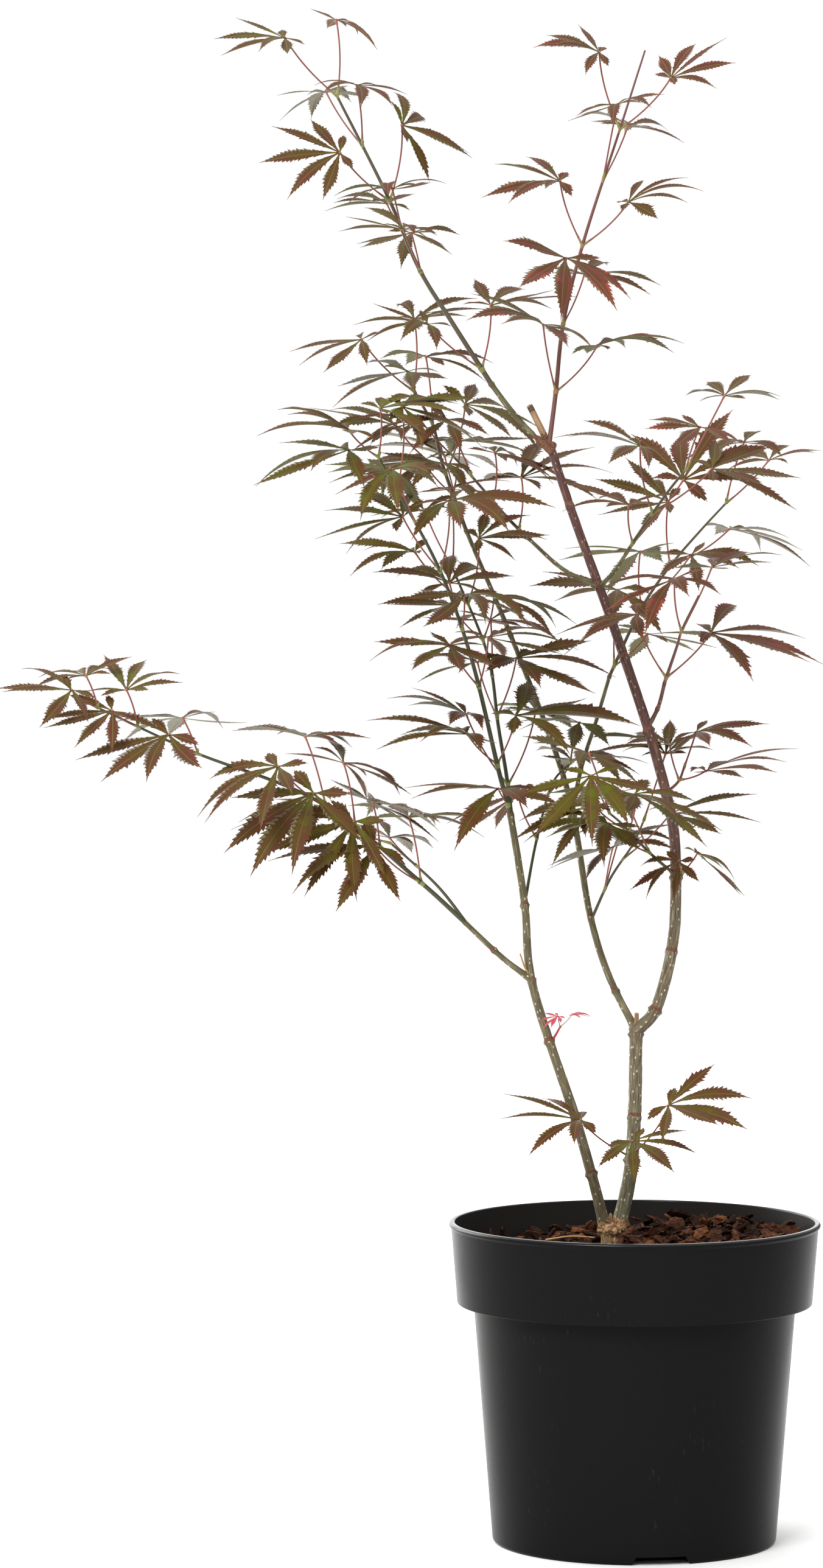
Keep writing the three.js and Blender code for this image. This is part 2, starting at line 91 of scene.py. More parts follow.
# Two tones in grains of so many millimetres, which stand up by the relief, in millimetres too
def mottledMaterial(name, codes, grain, roughness, relief, gloss=0.3):
    material, tree, surface = newMaterial(name)
    where = addNode(tree, "TexCoord").outputs["Object"]
    grains = addNode(tree, "TexNoise", inputs={
        "Vector": where, "Scale": 1000 / grain, "Detail": 5.0, "Roughness": 0.65})
    dark, pale = [toLinear(code) for code in codes]
    colour = addNode(tree, "ValToRGB", inputs={"Fac": grains.outputs["Fac"]}, stops=[
        (0.36, dark), (0.64, pale)])
    bump = addNode(tree, "Bump", inputs={
        "Height": grains.outputs["Fac"], "Strength": 0.7, "Distance": relief * millimetre})
    setInputs(tree, surface, {
        "Base Color": colour.outputs["Color"], "Normal": bump.outputs["Normal"], "Roughness": roughness,
        "Specular IOR Level": gloss})
    return material


def addObject(name, data):
    thing = bpy.data.objects.new(name, data)
    scene.collection.objects.link(thing)
    return thing


def newPiece(name, points, faces, materials, slots=None, uvs=None, sharpAngle=40):
    mesh = bpy.data.meshes.new(name)
    mesh.from_pydata([tuple(point) for point in points], [], faces)
    for material in materials:
        mesh.materials.append(material)
    if slots is not None:
        mesh.polygons.foreach_set("material_index", slots)
    if uvs is not None:  # one for each point of each face, in millimetres
        layer = mesh.uv_layers.new(name="grain")
        layer.data.foreach_set("uv", np.asarray(uvs, dtype=np.float32).ravel())
    mesh.polygons.foreach_set("use_smooth", [True] * len(mesh.polygons))
    mesh.set_sharp_from_angle(angle=math.radians(sharpAngle))
    mesh.update()
    return addObject(name, mesh)


def place(piece, slotName, *nodes):  # every piece rides on the one body
    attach(piece, "root")
    if nodes:
        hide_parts(*nodes)


def seededDraw(seed):  # a draw between 0 and 1, the same each run
    state = [seed]

    def draw():
        state[0] = (state[0] * 1664525 + 1013904223) % 4294967296
        return state[0] / 4294967296

    return draw


def seededVary(seed):
    draw = seededDraw(seed)
    return lambda amount: (draw() * 2 - 1) * amount


def unit(vector):
    return vector / np.linalg.norm(vector)


def turned(vector, axis, angle):  # about a unit axis
    return (vector * math.cos(angle) + np.cross(axis, vector) * math.sin(angle)
            + axis * np.dot(axis, vector) * (1 - math.cos(angle)))


def smoothstep(value, low, high):  # from 0 to 1, with a soft start and end
    share = min(max((value - low) / (high - low), 0), 1)
    return share * share * (3 - 2 * share)


def bell(gap, spread=1):  # 1 in the middle, and close to 0 from two spreads away
    return math.exp(-((gap / spread) ** 2))


def addTo(store, points, faces, slots):  # joins a small mesh to a growing one
    start = len(store[0])
    store[0].extend(points)
    store[1].extend(tuple(start + corner for corner in face) for face in faces)
    store[2].extend(slots)


boxFaces = [(3, 2, 1, 0), (4, 5, 6, 7)] + [(i, (i + 1) % 4, (i + 1) % 4 + 4, i + 4) for i in range(4)]


def camel(node):
    first, *rest = node.split("_")
    return first + "".join(word.capitalize() for word in rest)


# Camera: a long lens a little above the crown's middle, looking slightly down

view = {
    "place": (-138.2, -3300, 605),
    "down": 2.352,  # degrees
    "lens": 122.84,
}


def addCamera():
    data = bpy.data.cameras.new("camera")
    data.lens = view["lens"]
    camera = addObject("camera", data)
    camera.location = Vector(view["place"]) * millimetre
    camera.rotation_euler = (math.radians(90 - view["down"]), 0, 0)
    scene.camera = camera


addCamera()
print("camera placed")


# Studio: a pale floor under a wide overhead light that fades towards the horizon, a tall soft box at
# the back left, a soft key light in front and a wide, dim one behind that draws the plant's edges

studio = {
    "floorSize": 16,  # metres
    "floorColour": "#fbfbfa",
    "paperGrain": 2.5,  # millimetres, coarser than real paper so that it shows
    "zenith": 1.65,  # how bright the overhead light is straight up
    "horizon": 0.06,
    "backdrop": 1.0,  # how bright the empty studio looks to the camera
    "boxes": {  # place and size in metres, watts
        "leftBox": ((-1.75, 1.35, 0.8), (1.6, 1.9), 42),
        "frontBox": ((-1.3, -2.6, 2.4), (1.4, 1.4), 74),
        "backBox": ((-0.3, 2.4, 0.7), (1.8, 1.3), 15),
    },
    "target": (-0.05, 0, 0.45),
}


def addStudio():
    size = studio["floorSize"] / 2
    corners = [(-size, -size, 0), (size, -size, 0), (size, size, 0), (-size, size, 0)]
    paper, tree, surface = newMaterial("mattStudioPaper")  # backdrop paper: plain and matt
    grain = addNode(tree, "TexNoise", inputs={"Scale": 1000 / studio["paperGrain"], "Detail": 2.0})
    bump = addNode(tree, "Bump", inputs={
        "Height": grain.outputs["Fac"], "Strength": 0.05, "Distance": 0.5 * millimetre})
    setInputs(tree, surface, {
        "Base Color": toLinear(studio["floorColour"]), "Roughness": 0.9, "Normal": bump.outputs["Normal"]})
    newPiece("studioFloor", corners, [(0, 1, 2, 3)], [paper])
    for name, (spot, (width, height), watts) in studio["boxes"].items():
        data = bpy.data.lights.new(name, "AREA")
        data.shape = "RECTANGLE"
        data.size = width
        data.size_y = height
        data.energy = watts
        light = addObject(name, data)
        light.location = spot
        aim = Vector(studio["target"]) - Vector(spot)
        light.rotation_euler = aim.to_track_quat("-Z", "Y").to_euler()
        light.visible_camera = False
    world = bpy.data.worlds.new("studioLight")
    world.use_nodes = True
    tree = world.node_tree
    direction = addNode(tree, "TexCoord").outputs["Generated"]
    height = addNode(tree, "SeparateXYZ", inputs={"Vector": direction}).outputs["Z"]
    overhead = addNode(tree, "MapRange", inputs={
        "Value": height, "To Min": studio["horizon"], "To Max": studio["zenith"]})
    seen = addNode(tree, "LightPath").outputs["Is Camera Ray"]
    strength = addNode(tree, "MapRange", inputs={
        "Value": seen, "To Min": overhead.outputs["Result"], "To Max": studio["backdrop"]})
    setInputs(tree, tree.nodes["Background"], {"Color": (1, 1, 1, 1), "Strength": strength.outputs["Result"]})
    scene.world = world
    scene.view_settings.view_transform = "Standard"


addStudio()
print("studio lit")


# Pot: recycled polypropylene, injection moulded. It is near black with a soft sheen that only shows
# towards its edges, and it has a few short pale scratches from handling.

pot = {
    "height": 198.5,
    "rimRadius": 115,
    "collarTopRadius": 113.6,
    "collarFootRadius": 110,
    "collarFoot": 148,
    "neckRadius": 100,
    "baseRadius": 88,
    "neckBends": [(-0.5, -3), (-0.2, -0.6), (0.8, 0)],  # from the neck's radius and the collar's foot
    "wall": 2.2,
    "floor": 2.5,
    "bead": 3.5,
    "underBead": 0.4,
    "corner": 2.5,
    "collarCorner": 1,
    "rimCorner": 0.9,
    "lipZone": 0.35,  # share of the bead's height that is smooth
    "sides": 180,
    "sharpAngle": 32,
    "scuffColour": "#2b2c2a",
    "grain": 1.1,  # millimetres across one grain of the mould's texture, coarser than real, to show
    "scratch": (1.3, 11),  # millimetres across and along one scratch
    "scratched": 38,  # millimetres from one scratched patch to the next
}
potFinishes = {  # the textured wall, the smooth lip and the inside, which is paler above the mulch: partly dust, partly painted light on the inner wall
    "mouldedPolypropylene": {"colour": "#131413", "roughness": (0.22, 0.3), "gloss": 0.045},
    "smoothPolypropyleneLip": {"colour": "#0d0e0e", "roughness": (0.22, 0.3), "gloss": 0.26},
    "dustAndPaintedLightPolypropylene": {"colour": "#22201d", "roughness": (0.5, 0.66), "gloss": 0.12},
}
drain = {
    "count": 3,
    "frontAngle": -81.5,
    "footWidth": 37,
    "topWidth": 31,
    "height": 5,
    "reach": 18,
    "slotLength": 14,
    "slotWidth": 6,
    "slotCut": (-3, 6),  # from the channel's top
    "housing": (2, 0.5),  # how far it runs past the channel's reach, and its height above the ground
    "cut": (10, -1),  # the same of the channel's own room
}
wallSlot, lipSlot, dustAndLightSlot = range(3)  # in the order of potFinishes


def polypropylene(name):
    finish = potFinishes[name]
    material, tree, surface = newMaterial(name)
    where = addNode(tree, "TexCoord").outputs["Object"]
    grain = addNode(tree, "TexNoise", inputs={
        "Vector": where, "Scale": 1000 / pot["grain"], "Detail": 3.0})
    patches = addNode(tree, "TexNoise", inputs={
        "Vector": where, "Scale": 1000 / pot["scratched"], "Detail": 3.0})
    across, along = [1000 / size for size in pot["scratch"]]
    slanted = addNode(tree, "Mapping", inputs={
        "Vector": where, "Rotation": (0.5, 0.35, 0.0), "Scale": (across, across, along)})
    marks = addNode(tree, "TexNoise", inputs={
        "Vector": slanted.outputs["Vector"], "Scale": 1.0, "Detail": 2.0, "Roughness": 0.6})
    scratched = addNode(tree, "ValToRGB", inputs={"Fac": marks.outputs["Fac"]}, stops=[
        (0.66, (0, 0, 0, 1)), (0.74, (1, 1, 1, 1))])
    handled = addNode(tree, "ValToRGB", inputs={"Fac": patches.outputs["Fac"]}, stops=[
        (0.54, (0, 0, 0, 1)), (0.68, (1, 1, 1, 1))])
    worn = addNode(tree, "Math", {"operation": "MULTIPLY"}, {
        0: scratched.outputs["Color"], 1: handled.outputs["Color"]})
    colour = addNode(tree, "Mix", {"data_type": "RGBA"}, {
        "Factor": worn.outputs["Value"], 6: toLinear(finish["colour"]), 7: toLinear(pot["scuffColour"])})
    low, high = finish["roughness"]
    rough = addNode(tree, "MapRange", inputs={
        "Value": patches.outputs["Fac"], "From Min": 0.3, "From Max": 0.7, "To Min": low, "To Max": high})
    bump = addNode(tree, "Bump", inputs={
        "Height": grain.outputs["Fac"], "Strength": 0.18, "Distance": 0.2 * millimetre})
    setInputs(tree, surface, {
        "Base Color": colour.outputs[2], "Roughness": rough.outputs["Result"],
        "Normal": bump.outputs["Normal"], "IOR": 1.49, "Specular IOR Level": finish["gloss"]})
    return material


def latheMesh(profile, sides):  # closed round the axis, from [radius, height] pairs in millimetres
    points, faces = [], []
    rings = []
    for radius, height in profile:
        if radius < 1e-6:
            points.append((0, 0, height))
            rings.append([len(points) - 1] * sides)
            continue
        start = len(points)
        for k in range(sides):
            angle = 2 * math.pi * k / sides
            points.append((radius * math.cos(angle), radius * math.sin(angle), height))
        rings.append(list(range(start, start + sides)))
    for lower, upper in zip(rings, rings[1:]):
        for k in range(sides):
            corners = [lower[k], lower[(k + 1) % sides], upper[(k + 1) % sides], upper[k]]
            face = list(dict.fromkeys(corners))
            if len(face) > 2:
                faces.append(face)
    return points, faces


def arcPoints(middle, radius, start, end, count):
    return [(middle[0] + radius * math.cos(math.radians(start + (end - start) * i / count)),
             middle[1] + radius * math.sin(math.radians(start + (end - start) * i / count)))
            for i in range(count + 1)]


def potProfile():
    wall, corner = pot["wall"], pot["corner"]
    lip = pot["bead"] / 2
    lipMiddle = (pot["rimRadius"] - lip, pot["height"] - lip)
    ledge = pot["collarFoot"]
    outer = [(0, 0)]
    outer += arcPoints((pot["baseRadius"] - corner, corner), corner, -90, -5, 5)
    outer += [(pot["neckRadius"] + wider, ledge + higher) for wider, higher in pot["neckBends"]]
    bend, rim = pot["collarCorner"], pot["rimCorner"]
    outer += [(pot["collarFootRadius"] - bend, ledge)]
    outer += arcPoints((pot["collarFootRadius"] - bend, ledge + bend), bend, -80, 0, 3)
    outer += [(pot["collarTopRadius"], pot["height"] - pot["bead"] - pot["underBead"])]
    outer += arcPoints(lipMiddle, lip, -60, 90, 8)
    inner = arcPoints((pot["collarTopRadius"] - wall + rim, pot["height"] - rim), rim, 90, 180, 4)
    inner += [(pot["collarFootRadius"] - wall, ledge + wall), (pot["neckRadius"] - wall, ledge + wall)]
    inner += [(pot["baseRadius"] - wall, pot["floor"]), (0, pot["floor"])]
    return outer, inner


def wedge(grow, reach, start, back):  # a drain channel's room, pointing along +X
    foot = drain["footWidth"] / 2 + grow
    top = drain["topWidth"] / 2 + grow
    near = pot["baseRadius"] - drain["reach"] + back
    section = [(-foot, start), (foot, start), (top, drain["height"] + grow), (-top, drain["height"] + grow)]
    return [(x, y, z) for x in (near, near + reach) for y, z in section], boxFaces


def scratchSolid(points, faces, angle=0.0):  # a helper for a cut or a join, removed afterwards
    mesh = bpy.data.meshes.new("scratch")
    mesh.from_pydata([Vector(point) * millimetre for point in points], [], faces)
    mesh.transform(Matrix.Rotation(angle, 4, "Z"))
    return addObject("scratch", mesh)


def combine(piece, other, operation):
    modifier = piece.modifiers.new("combine", "BOOLEAN")
    modifier.operation = operation
    modifier.solver = "EXACT"
    modifier.object = other
    graph = bpy.context.evaluated_depsgraph_get()
    mesh = bpy.data.meshes.new_from_object(piece.evaluated_get(graph))
    piece.modifiers.clear()
    piece.data = mesh
    bpy.data.objects.remove(other)


def addPot():
    outer, inner = potProfile()
    points, faces = latheMesh(outer + inner, pot["sides"])
    piece = newPiece("potShell", [Vector(point) * millimetre for point in points], faces, [])
    base = outer[:7]  # with its rounded corner
    envelope = latheMesh([*base, (0, outer[len(base)][1])], pot["sides"])
    (past, above), (pastCut, aboveCut) = drain["housing"], drain["cut"]
    for i in range(drain["count"]):
        angle = math.radians(drain["frontAngle"]) + i * 2 * math.pi / drain["count"]
        housing = scratchSolid(*wedge(pot["wall"], drain["reach"] + past, above, -pot["wall"]), angle)
        combine(housing, scratchSolid(*envelope), "INTERSECT")
        combine(piece, housing, "UNION")
        room = scratchSolid(*wedge(0, drain["reach"] + pastCut, aboveCut, 0), angle)
        combine(piece, room, "DIFFERENCE")
        half, middle = drain["slotWidth"] / 2, pot["baseRadius"] - drain["reach"] / 2
        slot = [(middle + x * half, y * drain["slotLength"] / 2, drain["height"] + z)
                for z in drain["slotCut"] for x, y in ((-1, -1), (1, -1), (1, 1), (-1, 1))]
        combine(piece, scratchSolid(slot, boxFaces, angle), "DIFFERENCE")
    piece.data.polygons.foreach_set("use_smooth", [True] * len(piece.data.polygons))
    piece.data.set_sharp_from_angle(angle=math.radians(pot["sharpAngle"]))
    piece.data.materials.clear()
    for name in potFinishes:
        piece.data.materials.append(polypropylene(name))
    # the inside above the collar's foot gets the paler finish: partly dust, partly painted light on the inner
    # wall
    for face in piece.data.polygons:
        spot = face.center / millimetre
        inside = spot.x * face.normal.x + spot.y * face.normal.y < 0
        onLip = spot.z > pot["height"] - pot["lipZone"] * pot["bead"]
        dustAndLightInside = inside and spot.z > pot["collarFoot"]
        face.material_index = lipSlot if onLip else dustAndLightSlot if dustAndLightInside else wallSlot
    place(piece, "pot_plastic", "pot")


addPot()
print("pot moulded")


# Mulch: composted pine bark. Fox-red and dark brown chips lie heaped on a darker, crumbly bed, whose
# near-black tone is partly damp compost and partly painted shade in the gaps between the chips.

mulch = {
    "level": 183,
    "trunkPlace": -14,  # on the X axis; the surface stays level round it
    "seatRadius": 13,
    "heap": 8.5,
    "dip": 14,
    "heapAngle": 12,
    "bump": 2.2,
    "bumpSpacing": 17,
    "waves": (2.1, 1.7),  # radians across one spacing, left to right and front to back
    "stepRadius": 67,
    "clearance": 0.3,
    "shoulderRoom": 0.2,
    "sides": 120,
    "topRings": 34,
    "crumb": 1.6,  # millimetres that the bed's crumbs stand up
    "crumbSpacing": 3.5,
    "sunk": 4.6,  # millimetres that the bed lies below the tops of the chips
    "sunkFrom": (9, 14),  # millimetres from the trunk where it goes down
    "crumbGrain": 4.0,
    "dustGrain": 1.5,
    # the bed's near-black tones: partly damp compost, partly painted shade in the gaps between the chips
    "bedColours": ("#070403", "#1f110b"),
}
chips = {
    "count": 1250,
    "seeds": (411, 97),
    "length": (5, 19),
    "shortness": 1.8,  # above 1, most chips are short
    "breadth": (0.3, 0.6),  # share of the length
    "thickness": (0.1, 0.24),
    "turn": 2.39996,  # radians round the pot from one chip to the next
    "stray": 0.4,
    "tilt": 46,
    "pile": (-3.4, 3.2),  # millimetres below and above the surface
    "lowness": 1.5,  # above 1, most chips lie low
    "wallRoom": 0.42,  # share of a chip's length
    "trunkRoom": (9, 0.4),  # millimetres, and a share of its length
    "cells": (7, 4),  # along and across a chip's mesh
    "raggedSide": 0.28,  # shares of the breadth, the length and the thickness
    "raggedEnd": 0.09,
    "ridge": 0.3,
    "fibre": 0.12,
    "bend": 0.1,
    "taper": 0.35,
    "endSharpness": 3,
    "narrowEnd": 0.45,
    "thinEnd": 0.7,
    "thinSide": 0.6,
    "grain": 2.4,  # millimetres
    "colours": [  # the dark and the pale tone of each chip
        ("#2a1610", "#573323"), ("#21120d", "#44291d"), ("#331c13", "#6a412b"), ("#1b0f0b", "#3b241a"),
        ("#150b08", "#2d1b13"), ("#3d2217", "#805134"), ("#271510", "#543222"), ("#1e100c", "#3e261b")],
    "gloss": 0.08,
    "leaning": [(-89, 28, 178), (-101, 2, 176), (-83, 44, 177)],  # these stand up against the pot's wall
    "leaningSize": (22, 15, 3),
}


def fromTrunk(x, y):
    return math.hypot(x - mulch["trunkPlace"], y)


def mulchHeight(x, y):
    away = smoothstep(fromTrunk(x, y), mulch["seatRadius"], 3 * mulch["seatRadius"])
    heapAngle = math.radians(mulch["heapAngle"])
    slope = (x * math.cos(heapAngle) + y * math.sin(heapAngle)) / pot["rimRadius"]
    waveX, waveY = mulch["waves"]
    wave = math.sin(x / mulch["bumpSpacing"] * waveX) * math.cos(y / mulch["bumpSpacing"] * waveY + 1)
    lean = mulch["heap"] if slope > 0 else mulch["dip"]
    return mulch["level"] + away * (lean * slope + mulch["bump"] * wave)


def crumblyBark():  # fine composted bark, damp and matt; near black and darkest between the crumbs, where the bump sinks, as painted shade under and between the chips
    material, tree, surface = newMaterial("crumblyCompostedBark")
    where = addNode(tree, "TexCoord").outputs["Object"]
    crumbs = addNode(tree, "TexVoronoi", inputs={"Vector": where, "Scale": 1000 / mulch["crumbGrain"]})
    dust = addNode(tree, "TexNoise", inputs={
        "Vector": where, "Scale": 1000 / mulch["dustGrain"], "Detail": 4.0})
    mixed = addNode(tree, "Math", {"operation": "MULTIPLY"}, {
        0: crumbs.outputs["Distance"], 1: dust.outputs["Fac"]})
    dark, pale = [toLinear(code) for code in mulch["bedColours"]]
    # pale on the crumbs and darkest between them, where the bump sinks: painted shade in the recesses
    colour = addNode(tree, "ValToRGB", inputs={"Fac": mixed.outputs["Value"]}, stops=[
        (0.05, pale), (0.4, dark)])
    bump = addNode(tree, "Bump", {"invert": True}, {
        "Height": mixed.outputs["Value"], "Strength": 0.8, "Distance": millimetre})
    setInputs(tree, surface, {
        "Base Color": colour.outputs["Color"], "Normal": bump.outputs["Normal"], "Roughness": 0.95})
    return material


def addMulchBed():
    gap = mulch["clearance"]
    side = pot["wall"] + gap
    shoulder = pot["collarFoot"] + side + mulch["shoulderRoom"]
    lowest = mulch["level"] - mulch["dip"] - mulch["bump"]
    rise = (lowest - pot["collarFoot"]) / (pot["height"] - pot["collarFoot"])
    widening = pot["collarTopRadius"] - pot["collarFootRadius"]
    topRadius = pot["collarFootRadius"] + widening * rise - side - 2 * gap
    slant = (pot["neckRadius"] - pot["baseRadius"]) / pot["collarFoot"]
    stepTop = drain["height"] + side
    bottom = pot["floor"] + gap
    profile = [
        (0, bottom),
        (mulch["stepRadius"], bottom),
        (mulch["stepRadius"], stepTop),
        (pot["baseRadius"] + slant * stepTop - side - gap, stepTop),
        (pot["neckRadius"] - side - gap, shoulder),
        (pot["collarFootRadius"] - side - 2 * gap, shoulder),
    ]
    under = len(profile) * mulch["sides"] - mulch["sides"] + 1
    rings = mulch["topRings"]
    profile += [(topRadius * (1 - i / rings), mulch["level"]) for i in range(rings + 1)]
    points, faces = latheMesh(profile, mulch["sides"])
    for i in range(under, len(points)):
        x, y, _ = points[i]
        crumb = mulch["crumb"] * noise.noise(Vector((x, y, 0)) / mulch["crumbSpacing"])
        away = smoothstep(fromTrunk(x, y), *mulch["sunkFrom"])
        points[i] = (x, y, mulchHeight(x, y) + away * (crumb - mulch["sunk"]))
    piece = newPiece("mulchBed", [Vector(point) * millimetre for point in points], faces, [crumblyBark()])
    place(piece, "bark_mulch", "bark_mulch")
    return topRadius


def chipMesh(length, breadth, thickness, vary):  # a flake with ragged ends and a fibrous face
    along, across = chips["cells"]
    raggedSide = [1 + vary(chips["raggedSide"]) for _ in range(2 * (along + 1))]
    raggedEnd = [vary(chips["raggedEnd"]) * length for _ in range(2 * (across + 1))]
    ridges = [vary(chips["ridge"]) * thickness for _ in range(across + 1)]
    bend, taper = vary(chips["bend"]) * length, vary(chips["taper"])
    points = []
    for layer in (-1, 1):
        for i in range(along + 1):
            s = 2 * i / along - 1
            end = abs(s) ** chips["endSharpness"]
            for j in range(across + 1):
                q = 2 * j / across - 1
                side = raggedSide[i * 2 + (q > 0)] * (1 + taper * s) * (1 - chips["narrowEnd"] * end)
                x = s * length / 2 + end * raggedEnd[j * 2 + (s > 0)]
                thin = (1 - chips["thinEnd"] * end) * (1 - chips["thinSide"] * q * q)
                z = layer * thickness / 2 * thin + bend * s * s
                z += (ridges[j] + vary(chips["fibre"]) * thickness) * (layer > 0)
                points.append((x, q * breadth / 2 * side, z))
    rows, faces = across + 1, []
    layerSize = (along + 1) * rows
    for i in range(along):
        for j in range(across):
            a = i * rows + j
            lower = (a, a + 1, a + rows + 1, a + rows)
            faces.append(lower)
            faces.append(tuple(layerSize + k for k in reversed(lower)))
    rim = [i * rows for i in range(along + 1)]
    rim += [along * rows + j for j in range(1, across + 1)]
    rim += [i * rows + across for i in range(along - 1, -1, -1)]
    rim += [j for j in range(across - 1, 0, -1)]
    for a, b in zip(rim, rim[1:] + rim[:1]):
        faces.append((a, b, b + layerSize, a + layerSize))
    return points, faces


def addChips(reach):
    drawSeed, varySeed = chips["seeds"]
    draw, vary = seededDraw(drawSeed), seededVary(varySeed)
    # pine bark: corky, dry and matt, each chip mottled in its own two tones
    shades = [mottledMaterial(f"pineBarkChip{i + 1}", codes, chips["grain"], 0.85, 0.5, chips["gloss"])
              for i, codes in enumerate(chips["colours"])]
    store = [], [], []

    def between(span, share):
        return span[0] + (span[1] - span[0]) * share

    def addChip(middle, turn, flake, shade):
        points, faces = flake
        addTo(store, [(middle + turn @ Vector(point)) * millimetre for point in points], faces,
              [shade] * len(faces))

    tilt = math.radians(chips["tilt"])
    room, share = chips["trunkRoom"]
    for i in range(chips["count"]):
        length = between(chips["length"], draw() ** chips["shortness"])
        radius = math.sqrt((i + 0.5) / chips["count"]) * (reach - length * chips["wallRoom"])
        angle = i * chips["turn"] + vary(chips["stray"])
        x, y = radius * math.cos(angle), radius * math.sin(angle)
        breadth = length * between(chips["breadth"], draw())
        thickness = length * between(chips["thickness"], draw())
        turn = Matrix.Rotation(draw() * 2 * math.pi, 3, "Z")
        turn = turn @ Matrix.Rotation(vary(tilt), 3, "X") @ Matrix.Rotation(vary(tilt), 3, "Y")
        lift = between(chips["pile"], draw() ** chips["lowness"])
        shade = int(draw() * len(shades))
        flake = chipMesh(length, breadth, thickness, vary)
        if fromTrunk(x, y) >= room + length * share:
            addChip(Vector((x, y, mulchHeight(x, y) + lift)), turn, flake, shade)
    for i, middle in enumerate(chips["leaning"]):
        outward = Vector((middle[0], middle[1], 0)).to_track_quat("Z", "X").to_matrix()
        addChip(Vector(middle), outward, chipMesh(*chips["leaningSize"], vary), 2 * i % len(shades))
    points, faces, slots = store
    place(newPiece("barkChips", points, faces, shades, slots, sharpAngle=35), "bark_mulch")


bedRadius = addMulchBed()
addChips(bedRadius)
print("mulch laid")


# Ways: the smooth line through a limb's points, the same one that the solids follow

def makeWay(points):
    knots = [np.array(point, dtype=float) for point in points]
    knots = [2 * knots[0] - knots[1], *knots, 2 * knots[-1] - knots[-2]]
    spans = len(points) - 1

    def pointAt(t):
        span = min(int(t * spans), spans - 1)
        x0, x1, x2, x3 = knots[span:span + 4]
        weight = t * spans - span
        d0, d1, d2 = [math.sqrt(np.linalg.norm(b - a)) for a, b in ((x0, x1), (x1, x2), (x2, x3))]
        t1 = ((x1 - x0) / d0 - (x2 - x0) / (d0 + d1) + (x2 - x1) / d1) * d1
        t2 = ((x2 - x1) / d1 - (x3 - x1) / (d1 + d2) + (x3 - x2) / d2) * d1
        square, cube = weight * weight, weight ** 3
        return (x1 + t1 * weight + (-3 * x1 + 3 * x2 - 2 * t1 - t2) * square
                + (2 * x1 - 2 * x2 + t1 + t2) * cube)

    steps, nudge = 200, 1e-4
    samples = np.array([pointAt(i / steps) for i in range(steps + 1)])
    lengths = np.concatenate([[0], np.cumsum(np.linalg.norm(np.diff(samples, axis=0), axis=1))])

    def at(share):  # the place and the direction at a share of the length
        t = float(np.interp(share * lengths[-1], lengths, np.arange(steps + 1) / steps))
        low, high = max(t - nudge, 0), min(t + nudge, 1)
        return pointAt(t), unit(pointAt(high) - pointAt(low))

    return at, lengths[-1]


def steadyFrames(tangents):  # two directions across the line at each ring, and no twist between rings
    first = np.array((1.0, 0.0, 0.0)) if abs(tangents[0][0]) < 0.8 else np.array((0.0, 1.0, 0.0))
    normal = unit(first - tangents[0] * np.dot(first, tangents[0]))
    frames = []
    for tangent in tangents:
        normal = unit(normal - tangent * np.dot(normal, tangent))
        frames.append((normal, np.cross(tangent, normal)))
    return frames


def tubeMesh(centres, radii, sides, relief=None):  # a closed tube with domed ends
    dome = 0.4  # share of the radius
    tangents = [unit(tangent) for tangent in np.gradient(np.array(centres), axis=0)]
    frames = steadyFrames(tangents)
    points, uvs, faces, runs = [], [], [], []
    run = 0.0
    for i, (centre, radius, (normal, across)) in enumerate(zip(centres, radii, frames)):
        if i:
            run += float(np.linalg.norm(centre - centres[i - 1]))
        runs.append(run)
        for k in range(sides):
            angle = 2 * math.pi * k / sides
            grown = radius + (relief(centre, angle, radius, run) if relief else 0)
            points.append(centre + grown * (normal * math.cos(angle) + across * math.sin(angle)))
    girth = 2 * math.pi * float(np.mean(radii))
    for i in range(len(centres) - 1):
        for k in range(sides):
            a, b = i * sides + k, i * sides + (k + 1) % sides
            faces.append((a, b, b + sides, a + sides))
            left, right = girth * k / sides, girth * (k + 1) / sides
            uvs += [(left, runs[i]), (right, runs[i]), (right, runs[i + 1]), (left, runs[i + 1])]
    for ring, direction in ((0, -1), (len(centres) - 1, 1)):
        tip = len(points)
        points.append(centres[ring] + tangents[ring] * direction * radii[ring] * dome)
        for k in range(sides):
            a, b = ring * sides + k, ring * sides + (k + 1) % sides
            faces.append((a, b, tip) if direction > 0 else (b, a, tip))
            uvs += [(girth * k / sides, runs[ring])] * 3
    return points, faces, uvs


# Limbs: maple bark. It is thin and smooth, grey-olive and finely streaked low down with pale pores,
# and wine purple on the leader, with a raised ring at each old bud scar. A way is the limb's middle
# line, girth its diameter at both ends, rings the heights of its bud scars, and flare how much its
# foot widens. Where limbs join, union gives the height, reach and size of the knobs, swell the height
# where the limb thickens and how much, and callus the heights between which it is corky. A band is
# stained, in millimetres from the tip, rounded is how many of them the tip's dome takes, and cut
# marks a limb that ends in bare wood.

